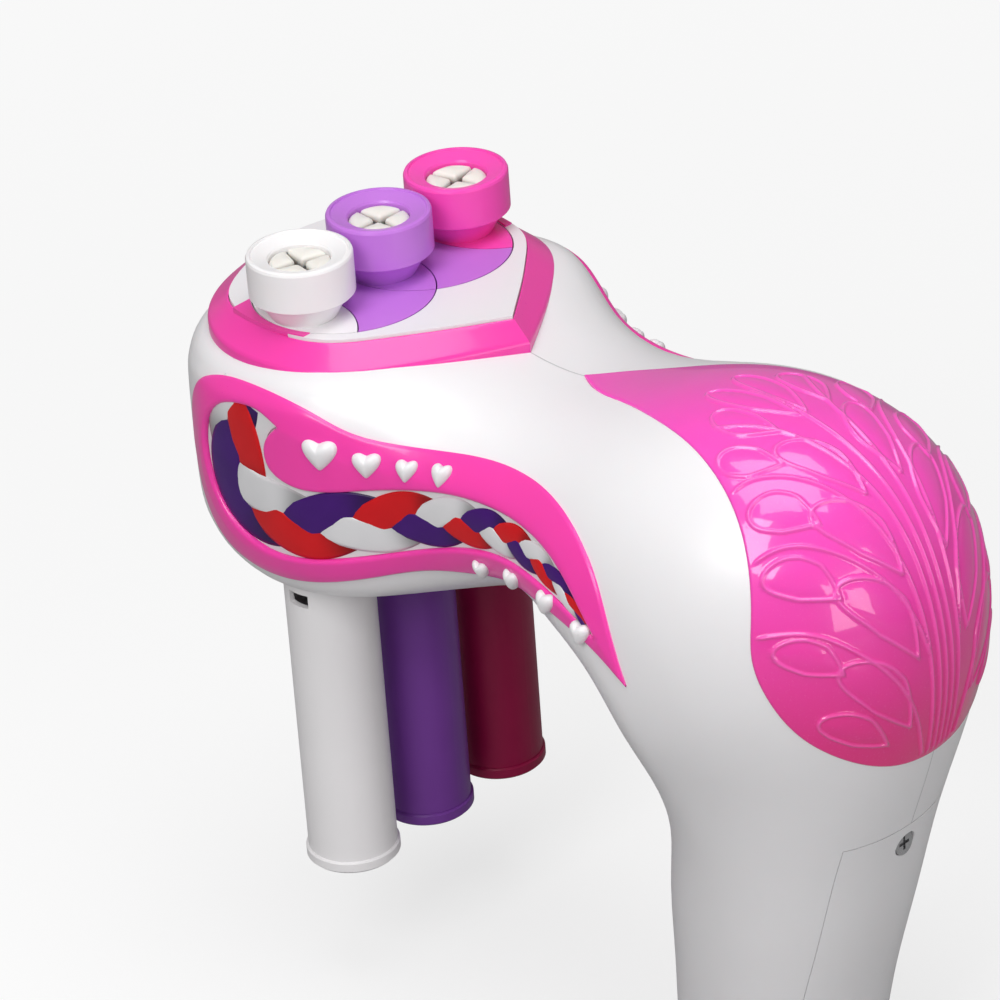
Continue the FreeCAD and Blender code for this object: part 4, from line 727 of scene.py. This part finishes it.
sides = ((-1, "left"), (1, "right"))
swirl = {"proud": 1.38 * mm, "least": 0.35 * mm, "skirt": -0.5 * mm, "outerRound": 0.5, "innerRound": 0.8,
         "bevel": 0.8, "bevelWidth": 5.0, "steps": (0.07, 0.18, 0.34, 0.56, 0.82), "along": 0.5, "fine": 0.06,
         "spacing": 0.55, "clear": 1.05, "low": (-21, 20), "high": (86, 59)}
swirlOutline = [
    [(-18.0, 37.0), (-17.3, 30.0), (-14.2, 24.2), (-8.0, 20.7), (0.0, 19.4), (8.0, 19.3), (15.3, 20.8), (22.7, 24.0),
     (31.0, 25.5), (42.0, 25.5), (54.0, 25.2), (63.5, 25.8), (71.0, 28.0), (77.4, 32.6), (82.2, 40.6)],
    [(86.2, 50.6), (80.6, 46.8), (73.0, 44.2), (63.0, 43.6), (53.0, 45.0), (43.0, 47.2), (33.3, 49.2), (24.0, 52.2),
     (13.5, 55.0), (4.0, 56.4), (-5.0, 55.4), (-12.4, 51.0), (-16.6, 44.8)]]
windowOutline = [
    [(9.0, 24.4), (5.0, 22.8), (-0.7, 23.0), (-6.2, 25.0), (-9.9, 29.5), (-11.1, 35.6), (-9.6, 41.5), (-6.0, 46.2),
     (-0.8, 49.2), (5.5, 50.4), (13.5, 49.7), (24.0, 47.5), (34.0, 44.4), (44.0, 41.2), (52.0, 39.6), (62.0, 39.2),
     (71.0, 40.4)],
    [(79.6, 43.6), (74.4, 38.0), (68.2, 34.0), (60.0, 32.0), (50.0, 31.5), (40.0, 31.9), (30.0, 33.2), (22.0, 34.6),
     (15.0, 35.6), (9.5, 35.0), (6.2, 32.8), (5.6, 29.0)]]


def cornered(runs, spacing):
    # closed outline of smooth runs that meet in corners
    pieces = []
    for run, following in zip(runs, runs[1:] + runs[:1]):
        points = run + [following[0]]
        length = sum(math.dist(a, b) for a, b in zip(points, points[1:]))
        pieces.append(smoothRun(points, int(length / spacing) + 2)[:-1])
    return np.concatenate(pieces)


outerLine, innerLine = (cornered(runs, swirl["along"]) for runs in (swirlOutline, windowOutline))
outerTree, innerTree = (treeOf(cornered(runs, swirl["fine"])) for runs in (swirlOutline, windowOutline))


def fromEdges(points):
    return distances(outerTree, points), distances(innerTree, points)


def onTrimFace(points):
    return insideOutline(points, outerLine) & ~insideOutline(points, innerLine)


bands = []
for line in (outerLine, innerLine):
    for step in swirl["steps"]:
        for sign in (1, -1):
            moved = line + sideways(line, True) * step * sign
            bands.append(moved[onTrimFace(moved) & (np.minimum(*fromEdges(moved)) > nearlyAll * step)])
field = evenField(swirl["low"], swirl["high"], swirl["spacing"])
field = field[onTrimFace(field)]
field = field[np.minimum(*fromEdges(field)) > swirl["clear"]]
trimPoints, trimTriangles = meshed([outerLine, innerLine], bands + [field], 1e-5, onTrimFace)
toOuter, toInner = fromEdges(trimPoints)


def rounding(distance, radius):
    return radius * (1 - np.sqrt(np.clip(1 - (1 - np.clip(distance / radius, 0, 1)) ** 2, 0, 1)))


trimLift = swirl["proud"] - (rounding(toOuter, swirl["outerRound"]) + rounding(toInner, swirl["innerRound"])) * mm
trimLift -= swirl["bevel"] * mm * np.clip(1 - toOuter / swirl["bevelWidth"], 0, 1)
trimLift = np.maximum(trimLift, swirl["least"])
count = len(trimPoints)
top = trimTriangles.tolist()
edges = dict.fromkeys(edge for a, b, c in top for edge in ((a, b), (b, c), (c, a)))
walls = [(b, a, a + count, b + count) for a, b in edges if (b, a) not in edges]
faces = top + [(c + count, b + count, a + count) for a, b, c in top] + walls
for side, name in sides:
    found = [onSide(x, drop, side) for x, drop in trimPoints]
    points = [place + lean * lift for (place, lean), lift in zip(found, trimLift)]
    points += [place + lean * swirl["skirt"] for place, lean in found]
    standIn(cleaned(newPiece(f"{name}SwirlTrim", points, faces, "pinkTrim")), f"{name}_swirl_trim")
print("swirl trims:", len(top), "top faces")


# ---- the ring round the deck ----

ring = {"outer": [(-29.9, 0), (-29.0, 7), (-26.2, 16), (-20.0, 25), (-13.6, 29.6), (-6.3, 32.1), (2.0, 32.6),
                  (10.6, 31.0), (16.7, 27.0), (21.8, 21.0), (28.4, 11.2), (34.9, 0)],
        "inner": [(-24.7, 0), (-23.6, 8), (-20.6, 16.5), (-16.6, 22.6), (-11.0, 26.0), (-3.0, 27.7), (5.0, 27.7),
                  (11.4, 25.1), (16.9, 19.4), (22.9, 11.7), (31.2, 0)],
        "top": -12.4, "edge": -16.3, "foot": -22.0, "innerFoot": -16.5, "innerRound": 0.4, "outerRound": 0.5,
        "steps": 170, "sharp": 38}


def mirroredLoop(points, count):
    # smooth across the nose, sharp at the rear point
    mirrored = [(x, -y) for x, y in points[:0:-1]] + points
    return smoothRun(mirrored, 2 * count + 1)[:-1]


def fromEdge(radius, count):
    # distances over a rounded edge, closer together at the rim
    return np.linspace(0, 1, count) ** 1.6 * radius


ringOuter, ringInner = (mirroredLoop(ring[key], ring["steps"]) for key in ("outer", "inner"))
sections = []
for (ox, oy), (ix, iy) in zip(ringOuter, ringInner):
    width = math.dist((ox, oy), (ix, iy))
    section = [((ix, iy), ring["innerFoot"])]
    inner = [(d, rounding(d, ring["innerRound"])) for d in fromEdge(ring["innerRound"], 6)]
    outer = [(width - d, rounding(d, ring["outerRound"])) for d in fromEdge(ring["outerRound"], 8)[::-1]]
    flat = [(d, 0) for d in np.linspace(ring["innerRound"], width - ring["outerRound"], 8)[1:-1]]
    for d, fall in inner + flat + outer:
        share = d / width
        z = ring["top"] + (ring["edge"] - ring["top"]) * share - fall
        section.append(((ix + (ox - ix) * share, iy + (oy - iy) * share), z))
    section.append(((ox, oy), ring["foot"]))
    sections.append([crown(x, y, z) for (x, y), z in section])
ringFaces = loopFaces(len(sections), len(sections[0]), True)
ringPoints = [point for section in sections for point in section]
topRing = cleaned(newPiece("topTrimRing", ringPoints, ringFaces, "pinkTrim"))
topRing.data.set_sharp_from_angle(angle=math.radians(ring["sharp"]))
standIn(topRing, "top_trim_ring")
print("top ring done")


# ---- the plait on the side panels ----

# x and drop of the plait's middle line, and its half width there
plait = {"line": [(-1.4, 21.9, 6.0), (-2.5, 27.8, 7.4), (-3.2, 33.4, 8.0), (-1.8, 38.6, 8.2), (2.8, 42.3, 7.8),
                  (11.0, 43.0, 7.1), (20.0, 41.6, 6.5), (30.0, 39.4, 5.8), (40.0, 37.1, 4.9), (50.0, 35.7, 3.8),
                  (60.0, 35.6, 3.1), (69.0, 37.3, 2.3), (77.5, 42.0, 0.9)],
         "pitch": 6.0, "leastWidth": 3.4, "phase": 3.0, "margin": 0.35, "swing": 0.5, "bandHalf": 0.5,
         "crown": 0.16 * mm, "weave": 0.2 * mm, "base": 0.46 * mm, "depth": 0.1 * mm, "sunk": 0.14 * mm, "steps": 340,
         "across": 12}


def sideStrip(side, path, half, height):
    # a thin slab that follows the head's side: path in x and drop, half its half width, height above the form
    shares = np.linspace(-1, 1, plait["across"] + 1)
    spots = path[:, None] + (sideways(path) * half[:, None])[:, None] * shares[:, None]
    shown = insideOutline(spots, plaitWindow)
    lifts = np.where(shown, height[:, None] + plait["crown"] * (1 - shares ** 2) ** 0.5, plait["sunk"])
    rows = []
    for line, liftLine in zip(spots, lifts):
        found = [onSide(x, drop, side) for x, drop in line]
        top = [place + lean * lift for (place, lean), lift in zip(found, liftLine)]
        rows.append(top + [place + lean * plait["depth"] for place, lean in found][::-1])
    return np.array(rows)


def bar(name, rows, finish, smooth=True):
    # a piece whose skin is a row of loops, closed at both ends
    count, size = rows.shape[:2]
    ends = [list(range(size))[::-1], list(range((count - 1) * size, count * size))]
    return newPiece(name, rows.reshape(-1, 3), loopFaces(count, size).tolist() + ends, finish, smooth)


plaitWindow = innerLine + sideways(innerLine, True) * plait["margin"]
if insideOutline(plaitWindow, innerLine).mean() > 0.5:  # the margin lies on the other side
    plaitWindow = 2 * innerLine - plaitWindow
plaitRun = smoothRun(plait["line"], plait["steps"])
plaitPath, plaitWidth = plaitRun[:, :2], plaitRun[:, 2]
pitches = plait["pitch"] * np.maximum(plaitWidth[1:], plait["leastWidth"])
plaitTurn = np.cumsum(2 * np.pi * np.linalg.norm(np.diff(plaitPath, axis=0), axis=1) / pitches)
plaitTurn = np.concatenate([[0], plaitTurn]) + plait["phase"]
for side, name in sides:
    for number, finish in enumerate(["redBand", "violetBand", "whiteBand"]):
        turn = plaitTurn + number * 2 * np.pi / 3
        path = plaitPath + sideways(plaitPath) * (plaitWidth * plait["swing"] * np.sin(turn))[:, None]
        height = plait["base"] + plait["weave"] * (0.5 + 0.5 * np.sin(2 * turn))
        rows = sideStrip(side, path, plaitWidth * plait["bandHalf"], height)
        band = bar(f"{name}Band{number + 1}", rows, finish)
        marked(band, "tuck", np.repeat(np.clip(0.5 - 0.5 * np.sin(2 * turn), 0, 1) ** 4, rows.shape[1]))
        cleaned(band)
        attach(band, "body")
print("plaits done")


# ---- heart studs ----

hearts = {"places": [(17.2, 27.3, 6.6), (25.0, 28.6, 5.2), (32.0, 29.0, 4.3), (38.7, 28.8, 4.2),
                     (47.4, 43.6, 3.7), (56.6, 41.9, 4.1), (67.4, 41.4, 4.4), (76.6, 43.3, 4.4)],
          "base": 0.95 * mm, "skirt": -0.6 * mm, "rise": 1.8 * mm, "fullWidth": 6.9, "risePower": 0.35, "rings": 12,
          "around": 64, "grow": 1.2, "smoothing": 36, "curveWidth": 33.0}


def heartOutline(width):
    t = np.linspace(0, 2 * np.pi, hearts["around"], endpoint=False)
    x = 16 * np.sin(t) ** 3
    y = 13 * np.cos(t) - 5 * np.cos(2 * t) - 2 * np.cos(3 * t) - np.cos(4 * t)
    return relaxed(np.stack([x, y], axis=1) * width / hearts["curveWidth"], hearts["smoothing"])


for side, name in sides:
    points, faces = [], []
    for x, drop, width in hearts["places"]:
        def onTrim(u, v, height):
            place, lean = onSide(x + u, drop - v, side)
            return place + lean * (hearts["base"] + height)
        rise = hearts["rise"] * (width / hearts["fullWidth"]) ** hearts["risePower"]
        newPoints, newFaces = puffyPad(heartOutline(width * hearts["grow"]), onTrim, hearts["skirt"], rise,
                                       hearts["rings"])
        faces += [tuple(i + len(points) for i in face) for face in newFaces]
        points += newPoints
    standIn(cleaned(newPiece(f"{name}Hearts", points, faces, "whiteShell")), f"{name}_heart_studs")
print("hearts done")


# ---- soft jaws in the collars ----

jaws = {"lobes": 4, "reach": 5.5, "gap": 0.2, "hole": 0.7, "turn": 40.0, "turnStep": 14.175, "spacing": 20.25,
        "foot": -4.05, "seat": -2.4, "rise": 0.9, "rings": 9, "arcPoints": 40, "slitPoints": 14, "smoothing": 3}


def jawOutline():
    # one quarter lobe: rounded wedge between two slits, in millimetres
    angle = np.linspace(-1, 1, jaws["arcPoints"]) * (math.pi / jaws["lobes"] - jaws["gap"] / jaws["reach"])
    arc = jaws["reach"] * np.stack([np.cos(angle), np.sin(angle)], axis=1)
    tip = np.array([[jaws["hole"] + jaws["gap"], 0.0]])
    along = np.linspace(0.06, 0.94, jaws["slitPoints"])[:, None]
    slits = [arc[-1] + (tip - arc[-1]) * along, tip, tip + (arc[0] - tip) * along]
    return relaxed(np.concatenate([arc] + slits), jaws["smoothing"])


def onJaw(u, v, height):
    return u * mm, v * mm, (jaws["seat"] + height) * mm


def lobeRing():
    # Geometry Nodes: the piece's own mesh, repeated round a centre
    tree = bpy.data.node_groups.new("lobeRing", "GeometryNodeTree")
    tree.is_modifier = True
    kinds = {"Geometry": "Geometry", "Lobes": "Int", "Turn": "Float", "Centre": "Vector", "Finish": "Material"}
    names = {name: tree.interface.new_socket(name, in_out="INPUT", socket_type="NodeSocket" + kind).identifier
             for name, kind in kinds.items()}
    tree.interface.new_socket("Geometry", in_out="OUTPUT", socket_type="NodeSocketGeometry")
    g = Graph(tree)
    geometry, lobes, turn, centre, finish = (g.node("NodeGroupInput", out=name) for name in kinds)
    angle = g.node("GeometryNodeInputIndex") / lobes * (2 * math.pi) + turn
    spots = g.node("GeometryNodeMeshLine", {}, {"Count": lobes, "Offset": (0, 0, 0)})
    spin = g.node("ShaderNodeCombineXYZ", {}, {"Z": angle})
    placed = g.node("GeometryNodeInstanceOnPoints", {}, {"Points": spots, "Instance": geometry, "Rotation": spin})
    moved = g.node("GeometryNodeTransform", {}, {"Geometry": placed, "Translation": centre})
    real = g.node("GeometryNodeRealizeInstances", {}, {"Geometry": moved})
    result = g.node("GeometryNodeSetMaterial", {}, {"Geometry": real, "Material": finish})
    g.node("NodeGroupOutput", {}, {"Geometry": result}, out=None)
    return tree, names


lobeTree, lobeInputs = lobeRing()
for number, name in ((-1, "left"), (0, "middle"), (1, "right")):
    points, faces = puffyPad(jawOutline(), onJaw, jaws["foot"] - jaws["seat"], jaws["rise"], jaws["rings"])
    lobes = newPiece(f"{name}Lobes", points, faces, "creamJaw")
    repeat = lobes.modifiers.new("lobes", "NODES")
    repeat.node_group = lobeTree
    repeat[lobeInputs["Lobes"]] = jaws["lobes"]
    repeat[lobeInputs["Turn"]] = math.radians(jaws["turn"] + number * jaws["turnStep"])
    repeat[lobeInputs["Centre"]] = crown(0, number * jaws["spacing"], 0)
    repeat[lobeInputs["Finish"]] = finishes["creamJaw"]
    cleaned(applied(lobes))
    shadeSmooth(lobes.data)
    standIn(lobes, f"{name}_jaws")
print("jaws done")


# ---- the ring's lips beside the outer holders ----

lip = {"rotorY": 10.125, "radius": 16.62, "from": -11.6, "to": 6.4, "top": -11.85, "bottom": -13.5, "edge": 0.12,
       "outer": [(-12.4, 26.2), (-8.0, 27.3), (-3.0, 28.0), (2.0, 28.0), (7.0, 27.0)], "least": 0.3, "steps": 60}
outerRun = smoothRun(lip["outer"], 200)
for side, name in sides:
    rows = []
    for x in np.linspace(lip["from"], lip["to"], lip["steps"]):
        near = lip["rotorY"] + math.sqrt(lip["radius"] ** 2 - x ** 2)
        far = max(np.interp(x, *outerRun.T), near + lip["least"])
        section = [(near, lip["bottom"]), (near, lip["top"] - lip["edge"]), (near + lip["edge"], lip["top"]),
                   (far, lip["top"]), (far, lip["bottom"])]
        rows.append([crown(x, side * y, z) for y, z in section])
    piece = cleaned(bar(f"{name}RingLip", np.array(rows), "pinkTrim", False))
    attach(piece, "body")
print("ring lips done")


# ---- light, floor and camera ----

studio = {"floorHalf": 2.0, "world": 0.3, "worldSeen": 0.96, "near": 0.15, "far": 0.75, "nearLevel": 1.1,
          "farLevel": 0.95, "nearShare": 0.62, "aim": (-0.03, 0, 0.1)}


def floorFinish():
    # plain paper: white as seen, soft under the object, and dull as a reflector so that the undersides stay deep
    f = Finish(bpy.data.materials.new("floorPaper"))
    away = f.node("ShaderNodeVectorMath", {"operation": "LENGTH"}, {0: f.place}, out="Value")
    fade = away.over(studio["near"], studio["far"])
    seen = f.node("ShaderNodeLightPath", out="Is Camera Ray")
    dull = f.mix(f.noise(90 * mm, 3.0).over(0.3, 0.7), (0.37, 0.37, 0.37), (0.39, 0.39, 0.39))
    lit = f.node("ShaderNodeBsdfDiffuse", {}, {"Color": f.mix(seen, dull, (0.8, 0.8, 0.8))})
    level = studio["nearLevel"] + fade * (studio["farLevel"] - studio["nearLevel"])
    glow = f.node("ShaderNodeEmission", {}, {"Color": (1, 1, 1, 1), "Strength": level})
    share = seen * (studio["nearShare"] + fade * (1 - studio["nearShare"]))
    return f.show(f.node("ShaderNodeMixShader", {}, {0: share, 1: lit, 2: glow}))


def worldFinish():
    f = Finish(bpy.data.worlds.new("studio"))
    seen = f.node("ShaderNodeLightPath", out="Is Camera Ray")
    level = studio["world"] + seen * (studio["worldSeen"] - studio["world"])
    sky = f.node("ShaderNodeBackground", {}, {"Color": (1, 1, 1, 1), "Strength": level})
    return f.show(sky, "ShaderNodeOutputWorld")


finishes["floorPaper"] = floorFinish()
corners = [(x * studio["floorHalf"], y * studio["floorHalf"], 0) for x, y in ((-1, -1), (1, -1), (1, 1), (-1, 1))]
floor = newPiece("floor", corners, [(0, 1, 2, 3)], "floorPaper", False)
bpy.context.scene.world = worldFinish()
bpy.context.scene.view_settings.view_transform = "Standard"


def softLight(name, place, power, size):
    lamp = bpy.data.lights.new(name, "AREA")
    lamp.shape, lamp.size, lamp.energy = "SQUARE", size, power
    light = bpy.data.objects.new(name, lamp)
    light.location = place
    light.rotation_euler = (Vector(studio["aim"]) - Vector(place)).to_track_quat("-Z", "Y").to_euler()
    bpy.context.scene.collection.objects.link(light)


softLight("key", (0.15, -0.75, 0.75), 4.4, 0.45)
softLight("fill", (0.82, -0.19, 0.25), 1.4, 0.35)
softLight("top", (0.05, -0.06, 0.95), 3.6, 0.55)

view = {"place": (0.5285, -0.6049, 0.5640), "azimuth": 44.274, "elevation": 28.776, "roll": -4.258, "lens": 193.94}
around, down, tilt = (math.radians(view[k]) for k in ("azimuth", "elevation", "roll"))
right = Vector((math.cos(around), math.sin(around), 0))
ahead = Vector((-math.sin(around) * math.cos(down), math.cos(around) * math.cos(down), -math.sin(down)))
above = right.cross(ahead)
across = math.cos(tilt) * right + math.sin(tilt) * above
upward = math.cos(tilt) * above - math.sin(tilt) * right
lensData = bpy.data.cameras.new("camera")
lensData.lens, lensData.sensor_width, lensData.clip_start, lensData.clip_end = view["lens"], 36.0, 0.05, 10.0
camera = bpy.data.objects.new("camera", lensData)
camera.matrix_world = Matrix.Translation(view["place"]) @ Matrix((across, upward, -ahead)).transposed().to_4x4()
bpy.context.scene.collection.objects.link(camera)
bpy.context.scene.camera = camera
print("studio ready")
